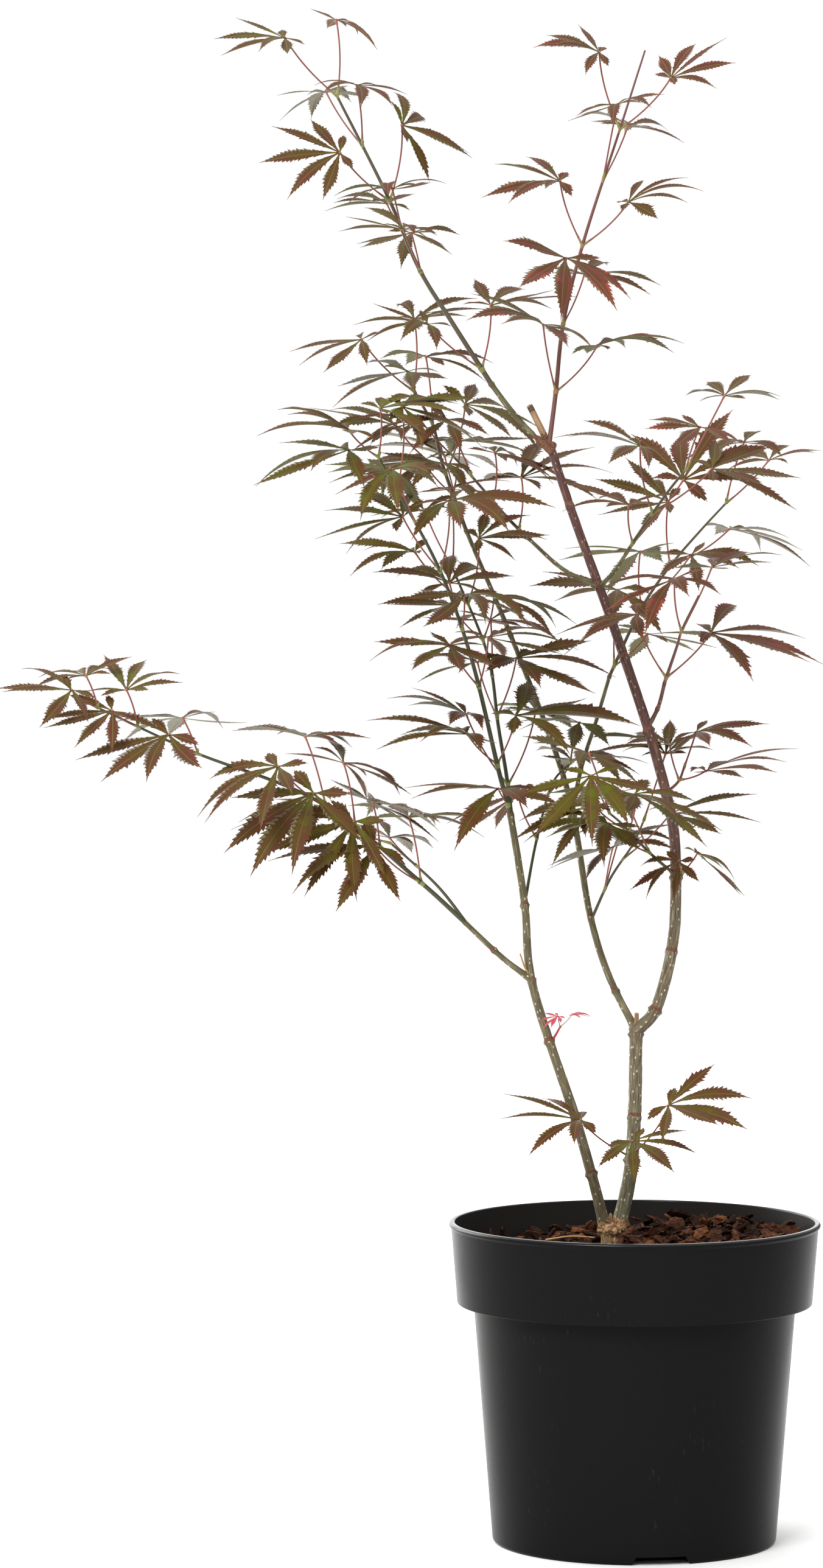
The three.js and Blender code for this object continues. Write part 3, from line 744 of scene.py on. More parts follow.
foot = mulch["level"] + mulch["clearance"]
limbs = {
    "trunk": {"way": [[-15, 0, foot], [-15, 0, foot + 6], [-14.4, 0, 198]], "girth": [11, 11.4],
              "relief": 0.9, "union": (194, 4.2, 2.6), "swell": (190, 1.36), "callus": (190, 240),
              "rounded": 4, "bark": "foot", "sides": 60, "ring": 0.5},
    "right_stem": {"way": [[-9.6, 0, 196], [-3, 2, 226], [0, 5, 264], [1, 8, 316]], "girth": [9, 8],
                   "rings": [236, 262, 314], "bark": "old", "flare": 0.12, "relief": 0.3,
                   "callus": (0, 199.5)},
    "right_leader_foot": {
        "way": [[1, 8, 316], [11, 6, 326], [18, 3, 345], [24, -2, 378], [25, -5, 414]],
        "girth": [7.6, 6.8], "rings": [329, 366, 412], "bark": "old", "flare": 0.1},
    "right_leader": {
        "way": [[25, -5, 414], [23, -8, 443], [12, -12, 488], [-14, -18, 566], [-39, -22, 634],
                [-54, -25, 679]],
        "girth": [6.8, 5], "rings": [416, 464, 503, 548, 592, 640], "bark": "leader", "union": (677, 3, 2.2),
        "swell": (674, 1.2), "callus": (674, 700)},
    "middle_stem": {
        "way": [[1, 8, 316], [-15, 22, 348], [-26, 35, 383], [-40, 57, 462], [-70, 76, 546],
                [-104, 84, 627]],
        "girth": [4.6, 2.6], "rings": [340, 384, 448, 506, 560, 600, 626], "bark": "young", "flare": 0.3},
    "left_stem": {
        "way": [[-18.8, -1, 196], [-22.6, -4, 212], [-36, -12, 260], [-65, -30, 352], [-69, -34, 397],
                [-78, -38, 454]],
        "girth": [7, 4], "rings": [229, 262, 312, 350, 396, 452], "bark": "young", "flare": 0.15,
        "callus": (0, 199)},
    "low_left_bough": {"way": [[-65, -30, 351], [-82, -34, 364], [-106, -42, 387]], "girth": [3.6, 3],
                       "rings": [369, 386], "bark": "young", "flare": 0.35},
    "top_left_bough": {"way": [[-54, -26, 675], [-67, -24, 687], [-79, -22, 701], [-90, -20, 716]],
                       "girth": [3.8, 3.2], "rings": [715], "bark": "young", "flare": 0.3,
                       "union": (681, 3, 1.8), "callus": (0, 683.5)},
    "upper_middle_bough": {"way": [[-26, -20, 592], [-45, -5, 602], [-67, 15, 622]], "girth": [2.8, 2.2],
                           "rings": [606, 621], "bark": "young", "flare": 0.35},
    "upper_right_bough": {"way": [[-23, -20, 591], [-14, -30, 601], [-6, -38, 614]], "girth": [2.6, 2.2],
                          "rings": [612], "bark": "young", "flare": 0.35},
    "back_right_bough": {"way": [[-38, 54, 448], [-31, 60, 479], [-22, 70, 506], [-13, 78, 535]],
                         "girth": [2.8, 2.2], "rings": [476, 508, 534], "bark": "young", "flare": 0.35},
    "lower_right_bough": {"way": [[6, -14, 503], [13, -18, 517], [17, -22, 533]], "girth": [2.6, 2.2],
                          "rings": [516, 532], "bark": "leader", "flare": 0.35},
    "pruned_stub_top": {"way": [[-54.5, -23, 678], [-60.5, -20, 691], [-66, -18, 702]], "girth": [4.2, 3.8],
                        "bark": "dry", "cut": True, "band": (2.6, 6.8), "callus": (0, 684)},
    "pruned_stub_fork": {"way": [[1, 8, 314], [1.4, 7.6, 327]], "girth": [3.4, 2.6], "bark": "dry",
                         "cut": True},
}
oddments = {  # small things that belong to a limb or lie on the mulch
    "trunkStub": {"of": "trunk", "way": [[-14.4, -1, 195], [-14.8, -1.8, 200], [-15, -2.2, 203.6]],
                  "girth": [2.8, 2.4], "bark": "dry", "cut": True, "rounded": 1},
    "driedStalk": {"of": "left_stem", "way": [[-65.6, -31, 353], [-69, -34, 359], [-71.8, -35, 367]],
                   "girth": [1.4, 0.9], "bark": "straw"},
    "strawStalk": {"of": "bark_mulch", "way": [[-52, 26, 184], [-38, 28, 185.6], [-24, 26, 185]],
                   "girth": [1.1, 0.8], "bark": "straw"},
}
# Low and high tones, the heights that they fade between, the streak's tone, how dark the painted shade
# in the furrows is, and how clear the pores are
barks = {
    "foot": {"tones": ("#9a794f", "#9a794f"), "fade": (180, 200), "streak": "#e0c294",
             "furrow": 1.0, "pores": 0.3, "roughness": 0.85},
    "old": {"tones": ("#7b7657", "#786a51"), "fade": (230, 310), "streak": "#b3ac95",
            "furrow": 0.9, "pores": 0.9, "roughness": 0.72},
    "leader": {"tones": ("#5c3a2e", "#5b3430"), "fade": (420, 680), "streak": "#8c6350",
               "furrow": 0.4, "pores": 0.3, "roughness": 0.55},
    "young": {"tones": ("#766a50", "#605a34"), "fade": (210, 480), "streak": "#a0946f",
              "furrow": 0.6, "pores": 0.7, "roughness": 0.6},
    "dry": {"tones": ("#a07c58", "#a8865f"), "fade": (200, 680), "streak": "#c9a983",
            "furrow": 0.5, "pores": 0, "roughness": 0.85},
    "straw": {"tones": ("#e0ae6c", "#b98a52"), "fade": (190, 360), "streak": "#eccb96",
              "furrow": 0.2, "pores": 0, "roughness": 0.6},
}
limbDetail = {
    "sides": 24,
    "ring": 1.1,  # millimetres between the mesh's rings
    "ringHeight": 0.13,  # a bud scar's ring, as a share of the radius
    "ringWidth": 1.5,
    "ringDip": 0.35,  # the hollow above it, as a share of its height
    "ringDipPlace": 1.6,  # in widths of the ring
    "flareLength": 7,
    "swellReach": (-1.5, 2.5),  # millimetres below and above the height where a limb thickens
    "tipRoundness": 0.85,
    "sink": 2.5,
    "relief": 0.035,  # share of the radius
    "reliefPace": (1.2, 0.16),  # across and along the limb
    "knobGrain": 2.6,
    "streak": 0.9,  # millimetres across one streak
    "streakStretch": 0.07,
    "patch": 14,  # millimetres across a darker patch
    "pore": 4.5,  # millimetres between pores
    "poreStretch": 0.6,
    "poreColour": "#d3c9b2",
    "budSize": 0.24,  # a bud scar's two knobs, as a share of the radius
    "budWidth": 1.3,
    "budTurn": 0.3,  # radians
    "budSharpness": 8,
    "scarReach": 1.2,  # millimetres of cork each way from a bud scar
    "ragged": 0.5,  # how far a finish's edge strays
    "raggedPace": (0.7, 1, 3.1),
    "callusRagged": 3,  # times as far
    "graftTop": 300,  # a callus below this height is the graft's, and one above it is cork
}


def mapleBark(kind):
    look, detail = barks[kind], limbDetail
    material, tree, surface = newMaterial(f"{kind}MapleBark")
    grain = addNode(tree, "UVMap", {"uv_map": "grain"}).outputs["UV"]
    where = addNode(tree, "TexCoord").outputs["Object"]
    drawn = addNode(tree, "Mapping", inputs={
        "Vector": grain, "Scale": (1 / detail["streak"], detail["streakStretch"] / detail["streak"], 1.0)})
    streaks = addNode(tree, "TexNoise", inputs={
        "Vector": drawn.outputs["Vector"], "Scale": 1.0, "Detail": 4.0, "Roughness": 0.6})
    patches = addNode(tree, "TexNoise", inputs={
        "Vector": where, "Scale": 1000 / detail["patch"], "Detail": 3.0})
    height = addNode(tree, "SeparateXYZ", inputs={"Vector": where}).outputs["Z"]
    low, high = [value * millimetre for value in look["fade"]]
    rise = addNode(tree, "MapRange", inputs={"Value": height, "From Min": low, "From Max": high})
    tone = addNode(tree, "Mix", {"data_type": "RGBA"}, {
        "Factor": rise.outputs["Result"], 6: toLinear(look["tones"][0]), 7: toLinear(look["tones"][1])})
    dark = addNode(tree, "Mix", {"data_type": "RGBA", "blend_type": "MULTIPLY"}, {
        "Factor": patches.outputs["Fac"], 6: tone.outputs[2], 7: (0.5, 0.48, 0.46, 1)})
    streaky = addNode(tree, "ValToRGB", inputs={"Fac": streaks.outputs["Fac"]}, stops=[
        (0.52, (0, 0, 0, 1)), (0.7, (0.75, 0.75, 0.75, 1))])
    # darker where the streaks' bump sinks: painted shade in the furrows
    furrowShade = addNode(tree, "ValToRGB", inputs={"Fac": streaks.outputs["Fac"]}, stops=[
        (0.34, (0.3, 0.29, 0.28, 1)), (0.47, (1, 1, 1, 1))])
    furrowShaded = addNode(tree, "Mix", {"data_type": "RGBA", "blend_type": "MULTIPLY"}, {
        "Factor": look["furrow"], 6: dark.outputs[2], 7: furrowShade.outputs["Color"]})
    streaked = addNode(tree, "Mix", {"data_type": "RGBA"}, {
        "Factor": streaky.outputs["Color"], 6: furrowShaded.outputs[2], 7: toLinear(look["streak"])})
    spaced = addNode(tree, "Mapping", inputs={
        "Vector": grain, "Scale": (1 / detail["pore"], detail["poreStretch"] / detail["pore"], 1.0)})
    pores = addNode(tree, "TexVoronoi", {"voronoi_dimensions": "2D"}, {
        "Vector": spaced.outputs["Vector"], "Scale": 1.0})
    pored = addNode(tree, "ValToRGB", inputs={"Fac": pores.outputs["Distance"]}, stops=[
        (0.075, (*[look["pores"]] * 3, 1)), (0.12, (0, 0, 0, 1))])
    colour = addNode(tree, "Mix", {"data_type": "RGBA"}, {
        "Factor": pored.outputs["Color"], 6: streaked.outputs[2], 7: toLinear(detail["poreColour"])})
    bump = addNode(tree, "Bump", inputs={
        "Height": streaks.outputs["Fac"], "Strength": 0.35, "Distance": 0.4 * millimetre})
    setInputs(tree, surface, {
        "Base Color": colour.outputs[2], "Normal": bump.outputs["Normal"], "Roughness": look["roughness"]})
    return material


barkSlot, cutSlot, corkSlot, stainSlot, callusSlot = range(5)


def limbRadius(limb, share, length, height, scars):
    detail = limbDetail
    run = share * length
    radius = (limb["girth"][0] * (1 - share) + limb["girth"][1] * share) / 2
    for scar in scars:
        gap = (run - scar) / detail["ringWidth"]
        dip = detail["ringDip"] * bell(gap - detail["ringDipPlace"])
        radius *= 1 + detail["ringHeight"] * (bell(gap) - dip)
    radius *= 1 + limb.get("flare", 0) * bell(run, detail["flareLength"])
    swollen, swell = limb.get("swell", (0, 1))
    below, above = detail["swellReach"]
    radius *= 1 + (swell - 1) * smoothstep(height, swollen + below, swollen + above)
    rounded = limb.get("rounded", 0)
    if length - run < rounded:
        radius *= math.sqrt(1 - detail["tipRoundness"] * (1 - (length - run) / rounded) ** 2)
    return radius


def addLimb(name, limb, materials):
    detail = limbDetail
    at, length = makeWay(limb["way"])
    sides = limb.get("sides", detail["sides"])
    rings = max(4, round(length / limb.get("ring", detail["ring"])))
    shares = [i / rings for i in range(rings + 1)]
    centres = [at(share)[0] for share in shares]
    scars = []
    for height in limb.get("rings", []):
        scars.append(min(range(rings + 1), key=lambda i: abs(centres[i][2] - height)) / rings * length)
    radii = [limbRadius(limb, share, length, at(share)[0][2], scars) for share in shares]
    sink = 0 if name == "trunk" else detail["sink"]
    if sink:
        centres.insert(0, centres[0] - at(0)[1] * sink)
        radii.insert(0, radii[0])
    furrow = limb.get("relief", detail["relief"] * limb["girth"][0] / 2)
    seat, spread, knobSize = limb.get("union", (0, 1, 0))
    across, along = detail["reliefPace"]

    def relief(centre, angle, radius, run):
        x, y = math.cos(angle) * radius, math.sin(angle) * radius
        spot = Vector((x * across, y * across, run * along)) + Vector(limb["way"][0]) * 0.1
        grown = furrow * noise.noise(spot)
        if knobSize:
            knobs = noise.noise(Vector((x, y, centre[2])) / detail["knobGrain"])
            grown += knobSize * bell(centre[2] - seat, spread) * knobs
        for k, scar in enumerate(scars):  # two knobs at each bud scar, turned a quarter from node to node
            facing = abs(math.cos(angle - k * math.pi / 2 - detail["budTurn"])) ** detail["budSharpness"]
            grown += detail["budSize"] * radius * facing * bell(run - sink - scar, detail["budWidth"])
        return grown

    points, faces, uvs = tubeMesh(centres, radii, sides, relief)
    slots = []
    stainLow, stainHigh = limb.get("band", (0, 0))
    callusLow, callusHigh = limb.get("callus", (0, 0))
    paceX, paceY, paceZ = detail["raggedPace"]
    for k in range(len(faces)):
        run = k // sides / rings * length
        height = centres[min(k // sides, len(centres) - 1)][2]
        ragged = detail["ragged"] * noise.noise(Vector((k % sides * paceX, run * paceY, paceZ)))
        corky = any(abs(run - scar - sink) < detail["scarReach"] * (1 + ragged) for scar in scars)
        knobbly = callusLow < height + detail["callusRagged"] * ragged < callusHigh
        if stainLow < length + sink - run + ragged < stainHigh:
            slots.append(stainSlot)
        elif knobbly and height < detail["graftTop"]:
            slots.append(callusSlot)
        else:
            slots.append(corkSlot if corky or knobbly else barkSlot)
    if limb.get("cut"):
        slots[-sides:] = [cutSlot] * sides
    piece = newPiece(camel(name) + "Bark", [point * millimetre for point in points], faces, materials,
                     slots, uvs)
    node = limb.get("of", name)
    slotName = {"bark_mulch": "bark_mulch", "right_leader": "leader_bark"}.get(node, "stem_bark")
    place(piece, slotName, node)


def addLimbs():
    finishes = {kind: mapleBark(kind) for kind in barks}
    others = [
        # sawn and snapped wood: pale, dry and matt
        mottledMaterial("weatheredCutWood", ("#b3946a", "#dcc29a"), 0.8, 0.8, 0.1),
        # cork of the bud scars: crumbly and reddish brown
        mottledMaterial("corkyBudScar", ("#452d21", "#8f644d"), 0.7, 0.9, 0.3),
        # wood that rain has greyed
        mottledMaterial("weatheredStain", ("#2f2b28", "#6a5c4c"), 0.9, 0.85, 0.1),
        # callus round the graft: tan, knobbly and rough
        mottledMaterial("knobblyGraftCallus", ("#4f301e", "#d6ad7f"), 1.7, 0.9, 0.6)]
    for name, limb in [*limbs.items(), *oddments.items()]:
        addLimb(name, limb, [finishes[limb["bark"]], *others])


addLimbs()
print("limbs grown")


# Foliage: each mass is one shoot. Its pairs of leaves are [share of the shoot's length, turn about
# the shoot in degrees, length of the leaf stalks, slope of the blades in degrees, degrees that they
# tip to the front], and the last three may be left out. Habit holds what a shoot leaves out.

habit = {
    "spread": 46,  # degrees between a stalk and its shoot
    "closing": 0.25,  # share of them that is gone at the shoot's tip
    "lift": 0.34,  # how much the stalks turn up to the light
    "wander": 12,
    "slope": 4,
    "sway": 14,
    "roll": 14,
    "follow": 0.5,  # how much a blade points along its stalk
    "stalk": 44,
    "stalkVary": 0.15,
    "elbow": 0.06,
    "leaf": 66,
    "leafVary": 0.14,
    "shrink": 0.22,  # how much smaller the leaves are at the shoot's tip
    "nod": 8,  # degrees that all blades turn to the front, where the light comes from
}
nudges = [0, 18, -18, 36, -36]  # degrees about the shoot that a leaf tries
onSolid = 0.02  # millimetres
shoots = {
    "top_left_foliage": {
        "way": [[-90, -20, 716], [-114, -14, 754], [-133, -8, 785], [-152, 0, 829], [-184, 10, 893]],
        "girth": [3.2, 1.6],
        "pairs": [
            [0.05, 30, 44, 4, 10], [0.4, 75, 30], [0.55, -80, 24], [0.64, 25, 44, 4, 30], [0.83, 110],
            [1, 40, 56, 4, 10]],
        "leaf": 60, "shrink": 0.3, "bark": "olive", "tint": 3.6},
    "top_right_foliage": {
        "way": [[-54, -25, 679], [-50, -16, 709], [-45, -5, 753], [-33, 5, 801], [-10, 16, 872],
                [6, 20, 922]],
        "girth": [3, 1.1],
        "pairs": [
            [0.13, 35, 44, -4, 10], [0.3, 70, 44, 12, 10], [0.5, 10, 44, -8, 22], [0.67, 80],
            [0.8, 5, 50, -12, 34]],
        "lift": 0.24, "slope": -4, "leaf": 70, "shrink": 0.45, "nod": 4, "bark": "red", "tint": 4.6},
    "middle_top_foliage": {
        "way": [[-104, 84, 627], [-119, 78, 669], [-125, 74, 693], [-137, 70, 714]],
        "girth": [2.6, 1.6],
        "pairs": [[0.1, 100], [0.25, 50, 34, 14], [0.4, 20, 44, 4, 10], [0.74, 80], [1, 40]],
        "bark": "olive", "tint": 3.4},
    "left_front_foliage": {
        "way": [[-78, -38, 454], [-84, -42, 475], [-102, -60, 548], [-121, -76, 601], [-158, -100, 669]],
        "girth": [3, 1.5],
        "pairs": [
            [0.02, 75, 16], [0.13, 20, 30, 4, 8], [0.34, 50, 36], [0.5, 110, 30], [0.66, -40, 44, 16, 8],
            [0.8, 100, 44, 12], [0.9, 20, 44, 4, 12], [1, 30, 30, 4, 8]],
        "leaf": 74, "bark": "green", "tint": 3.2},
    "left_back_foliage": {
        "way": [[-77, -36, 450], [-80, -28, 475], [-85, -18, 506], [-91, -8, 548], [-113, 0, 603]],
        "girth": [2.6, 1.4],
        "pairs": [
            [0.13, 20, 56], [0.4, 110], [0.56, 60, 44, 8, 10], [0.7, -30, 30, 14],
            [0.85, 0, 44, 4, 16], [1, 110, 44, 10]],
        "bark": "green", "tint": 3.4},
    "upper_middle_foliage": {
        "way": [[-67, 15, 622], [-78, 22, 633], [-101, 36, 660], [-112, 42, 672]],
        "girth": [2.2, 1.4],
        "pairs": [[0.1, 15, 34, 4, 12], [0.45, 0, 34, 4, 10], [0.76, 80, 34, 14], [1, 20]],
        "stalk": 34, "bark": "olive", "tint": 3.6},
    "upper_right_foliage": {
        "way": [[-6, -38, 614], [8, -55, 636], [19, -68, 652], [27, -78, 662]],
        "girth": [2.2, 1.4],
        "pairs": [[0.08, 50, 44, -28], [0.44, 10, 44, 0, 16], [1, 60, 52]],
        "bark": "olive", "tint": 4.2},
    "back_right_foliage": {
        "way": [[-13, 78, 535], [8, 92, 578], [26, 98, 604], [46, 104, 627], [62, 108, 644]],
        "girth": [2.2, 1.3],
        "pairs": [[0.05, 60, 44, 12], [0.36, 130], [0.6, 20, 44, 4, 12], [1, 70]],
        "bark": "olive", "tint": 4.0},
    "lower_right_foliage": {
        "way": [[17, -22, 533], [24, -36, 556], [26, -42, 564], [36, -52, 586]],
        "girth": [2.2, 1.2],
        "pairs": [[0.05, 20, 44, 4, 15], [0.6, 60, 44, 12]],
        "bark": "red", "tint": 4.6},
    "leader_spur_foliage": {
        "way": [[18, -10, 464], [27, 6, 471], [31, 18, 479]],
        "girth": [2, 1.4],
        "pairs": [[0.6, 30], [1, 110]],
        "stalk": 24, "lift": 0.2, "bark": "red", "tint": 4.4},
    "front_middle_foliage": {
        "way": [[25, -6, 413], [8, -20, 428], [-10, -45, 447], [-18, -55, 454]],
        "girth": [2, 1.3],
        "pairs": [[0.35, 80], [0.7, 0, 30, 20], [1, 100, 44, 24]],
        "lift": 0.6, "leaf": 74, "bark": "olive", "tint": 3.0},
    "back_middle_foliage": {
        "way": [[-26, 35, 383], [-14, 28, 410], [0, 22, 432], [6, 18, 446]],
        "girth": [2, 1.2],
        "pairs": [[0.3, 110, 36], [0.62, 40], [1, 100]],
        "bark": "olive", "tint": 3.4},
    "inner_left_foliage": {
        "way": [[-69, -34, 398], [-61, -15, 437], [-50, 0, 472], [-40, 5, 482]],
        "girth": [2, 1.3],
        "pairs": [[0.44, -25, 32, 30], [0.75, 80, 34], [1, 40, 30]],
        "leaf": 64, "bark": "green", "tint": 3.0},
    "low_left_foliage": {
        "way": [[-106, -42, 387], [-133, -50, 412], [-195, -70, 462], [-271, -86, 493], [-326, -95, 519]],
        "girth": [3, 1.3],
        "pairs": [
            [0.14, 50, 40, 16, 14], [0.27, 60, 30, 24, 14], [0.345, 50, 40, 20, 10], [0.43, 65, 42, 16, 10],
            [0.75, 70, 24, 16, 10], [0.9, 40, 22], [1, 60, 20, 8, 10]],
        "lift": 0.75, "slope": 14, "leaf": 72, "shrink": 0.3, "follow": 1.1, "nod": 16,
        "bark": "green", "tint": 3.8},
    "low_inner_foliage": {
        "way": [[-103, -41, 384], [-122, -32, 408], [-151, -22, 434]],
        "girth": [2.2, 1.3],
        "pairs": [[0.7, 100, 30], [1, 20]],
        "bark": "green", "tint": 3.8},
    "foot_foliage": {
        "way": [[-2, 4, 236], [-3, -5, 239], [-4, -9, 242]],
        "girth": [2, 1.6],
        "pairs": [[0.7, 0, 52, 10, 16], [1, -60, 26, 24, 12]],
        "leaf": 62, "lift": 0.35, "nod": 10, "bark": "green", "tint": 3.2},
    "leader_node_foliage": {
        "way": [[25, -5, 411], [28, -10, 413], [29, -14, 416]],
        "girth": [1.8, 1.4],
        "pairs": [[1, 30, 14]],
        "leaf": 54, "slope": 30, "bark": "olive", "tint": 4.2},
    "young_sprout": {
        "way": [[-52, -21, 312], [-49, -28, 318], [-47, -31, 322]],
        "girth": [1.6, 1.2],
        "pairs": [[1, 20]],
        "stalk": 9, "leaf": 18, "bark": "sprout", "tint": 0},
}

# A leaf, as shares of its middle lobe's length, and how far its lobes differ from each other
blade = {
    "lobes": [[0, 1, 15], [31, 0.94, 14], [63, 0.74, 11], [106, 0.34, 6]],  # degrees, length, teeth a side
    "seed": 1000,
    "steps": 40,
    "halfWidth": 0.081,
    "widthVary": 0.1,
    "narrowest": 0.5,  # share of the half width that the shortest lobe keeps
    "droop": 0.09,
    "profile": [(0, 0.14), (0.1, 0.18), (0.26, 0.54), (0.42, 0.9), (0.54, 1), (0.66, 0.86), (0.79, 0.42),
                (0.89, 0.12), (1, 0)],
    "toothed": (0.18, 0.9),
    "plain": (0.09, 0.97),  # rows before and after the teeth
    "tooth": 0.36,
    "smallTooth": 0.55,  # every second tooth, as a share of the first
    "notch": 0.92,
    "toothTip": (0.6, 0.55),  # shares of its step: where it stands, and how far forward it reaches
    "forwardVary": 0.3,
    "uneven": 0.6,  # how much the teeth differ
    "rise": 8,  # degrees that a lobe climbs at its foot
    "fall": 17,  # and falls at its tip
    "leastFall": 0.4,  # share of that for the shortest lobe
    "lateness": 1.15,  # how late along the lobe the fall comes
    "sway": 15,
    "tipSway": 1.5,  # times as much at the tip
    "aim": 5,
    "bend": 13,
    "backBend": 0.08,  # side lobes bend back by this share of their degrees
    "twist": 30,
    "fold": 0.34,
    "foldVary": 0.6,
    "cup": 0.25,
    "crease": 0.56,  # where the side veins pleat the blade
    "pleat": 0.012,
    "thickness": 0.32,  # millimetres, at the midrib
    "creaseThickness": 0.6,  # share of it
    "tipThinning": 0.5,
    "midrib": 0.3,
    "widestMidrib": 0.3,  # share of the half width
}

# Leaf colours, from the greenest to the reddest. Each is one plain colour, dealt out face by face.
leafColours = {
    "top": ["#5a6c06", "#565c0c", "#564e14", "#56411a", "#58381e", "#5b3322", "#673628", "#884131"],
    "under": ["#6d6a4c", "#6d5d40", "#715340", "#878376"],
    "midrib": "#665326",
    "hub": "#a2644c",
    "sprout": ["#d0485f", "#b83f4c", "#c7606a"],
}
leafTint = {  # how many colours redder
    "edge": 0.8,
    "tip": 2.4,
    "tipReach": 0.2,
    "foot": -1.3,
    "footFade": (0.15, 0.6),
    "patch": 1.5,
    "patchGrain": 13.0,  # millimetres
    "patchDrift": 40,  # millimetres, so that no two leaves have the same patches
    "leafVary": 0.9,
    "lobeVary": 0.5,
}
stalkColours = {"foot": "#84813f", "shaft": "#84493c", "tip": "#9a5546"}
twigColours = {  # sunny side, shady side, the ring at a node
    "olive": ("#4d4430", "#5c5834", "#7d7a45"),
    "green": ("#42422b", "#565a32", "#7d8047"),
    "red": ("#6a4038", "#7a4a3c", "#96684a"),
    "sprout": ("#b0404c", "#b8505a", "#c06068"),
}


def leafPlaces(shoot, seed, nudge):  # two opposite leaves for each pair, by the rule of the solids
    vary = seededVary(seed)
    at, _ = makeWay(shoot["way"])
    places = []
    for share, turn, *given in shoot["pairs"]:
        stalk = given[0] if given else shoot.get("stalk", habit["stalk"])
        tilt = given[1] if len(given) > 1 else shoot.get("slope", habit["slope"])
        tip = given[2] if len(given) > 2 else 0
        root, along = at(share)
        side = unit(np.array((1.0, 0, 0)) - along * along[0])
        back = np.cross(along, side)
        spread = math.radians(habit["spread"] * (1 - habit["closing"] * share))
        for half in (0, 180):
            angle = math.radians(turn + half + nudge + vary(habit["wander"]))
            length = stalk * (1 + vary(habit["stalkVary"]))
            shrink = 1 - shoot.get("shrink", habit["shrink"]) * share
            size = shoot.get("leaf", habit["leaf"]) * (1 + vary(habit["leafVary"])) * shrink
            swing = math.radians(vary(habit["wander"]))
            slope = math.radians(tilt + vary(habit["sway"]))
            roll = math.radians((-tip if half else tip) + vary(habit["roll"]))
            outward = side * math.cos(angle) + back * math.sin(angle)
            aim = along * math.cos(spread) + outward * math.sin(spread)
            aim = unit(aim + up * shoot.get("lift", habit["lift"]))
            centre = root + aim * length
            elbow = (root + centre) / 2 + outward * length * habit["elbow"]
            level = outward + aim * shoot.get("follow", habit["follow"])
            level[2] = 0
            level = turned(unit(level), up, swing)
            ahead = level * math.cos(slope) - up * math.sin(slope)
            face = turned(np.cross(ahead, np.cross(up, level)), ahead, roll)
            nod = math.radians(shoot.get("nod", habit["nod"]))
            ahead, face = turned(ahead, rightward, nod), turned(face, rightward, nod)
            places.append({"root": root, "elbow": elbow, "centre": centre, "ahead": ahead, "face": face,
                           "left": np.cross(face, ahead), "size": size, "outward": outward})
    return places


def keptLeaves(name, shoot, seed):  # only the leaves that the solid holds, in the turn that each took
    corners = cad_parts[name].data.vertices
    tree = kdtree.KDTree(len(corners))
    for i, corner in enumerate(corners):
        tree.insert(corner.co, i)
    tree.balance()
    options = [leafPlaces(shoot, seed, nudge) for nudge in nudges]
    kept = []
    for i in range(len(options[0])):
        for places in options:
            leaf = places[i]
            tips = [leaf["centre"] + leaf["size"] * (
                leaf["ahead"] * math.cos(math.radians(degrees)) * reach
                + leaf["left"] * math.sin(math.radians(degrees)) * reach
                - leaf["face"] * blade["droop"] * reach * reach)
                for degrees, reach, _ in lobeOrder[:3]]
            if min(tree.find(Vector(tip) * millimetre)[2] for tip in tips) < onSolid * millimetre:
                kept.append(leaf)
                break
    return kept


def lobeRows(teeth):  # shares along a lobe, with how far the edge stands out there and how far forward
    low, high = blade["toothed"]
    first, last = blade["plain"]
    step = (high - low) / teeth
    stand, forward = blade["toothTip"]
    rows = [(0, 1, 0), (first, 1, 0)]
    for k in range(teeth):
        tooth = blade["tooth"] * (blade["smallTooth"] if k % 2 else 1)
        rows.append((low + k * step, blade["notch"], 0))
        rows.append((low + (k + stand) * step, 1 + tooth, forward * step))
    return rows + [(high, blade["notch"], 0), (last, 1, 0)]


def lobeFaces(rows, columns):  # a closed skin: upper and lower grids that share their rim and tip
    upper = [[r * columns + c for c in range(columns)] for r in range(rows)]
    tip = rows * columns
    lower, fresh = [], tip + 1
    for r in range(rows):
        line = []
        for c in range(columns):
            if c in (0, columns - 1):
                line.append(upper[r][c])
            else:
                line.append(fresh)
                fresh += 1
        lower.append(line)
    faces, kinds = [], []
    for grid, isTop in ((upper, True), (lower, False)):
        for r in range(rows - 1):
            for c in range(columns - 1):
                face = (grid[r][c], grid[r + 1][c], grid[r + 1][c + 1], grid[r][c + 1])
                faces.append(face[::-1] if isTop else face)
                kinds.append((isTop, r, c))
        for c in range(columns - 1):
            face = (grid[-1][c], tip, grid[-1][c + 1])
            faces.append(face[::-1] if isTop else face)
            kinds.append((isTop, rows, c))
    for c in range(columns - 1):  # the foot, which the hub hides
        corners = (upper[0][c], upper[0][c + 1], lower[0][c + 1], lower[0][c])
        faces.append(tuple(dict.fromkeys(corners)))
        kinds.append((True, 0, c))
    return faces, kinds


columns = 6  # points across a lobe's top: both edges, both creases and the midrib's two sides
lobeKinds = []
for degrees, reach, teeth in blade["lobes"]:
    lobeKinds.append((lobeRows(teeth), *lobeFaces(len(lobeRows(teeth)), columns)))
lobeOrder = [(sign * degrees, reach, kind) for kind, (degrees, reach, _) in enumerate(blade["lobes"])
             for sign in ((1, -1) if degrees else (1,))]


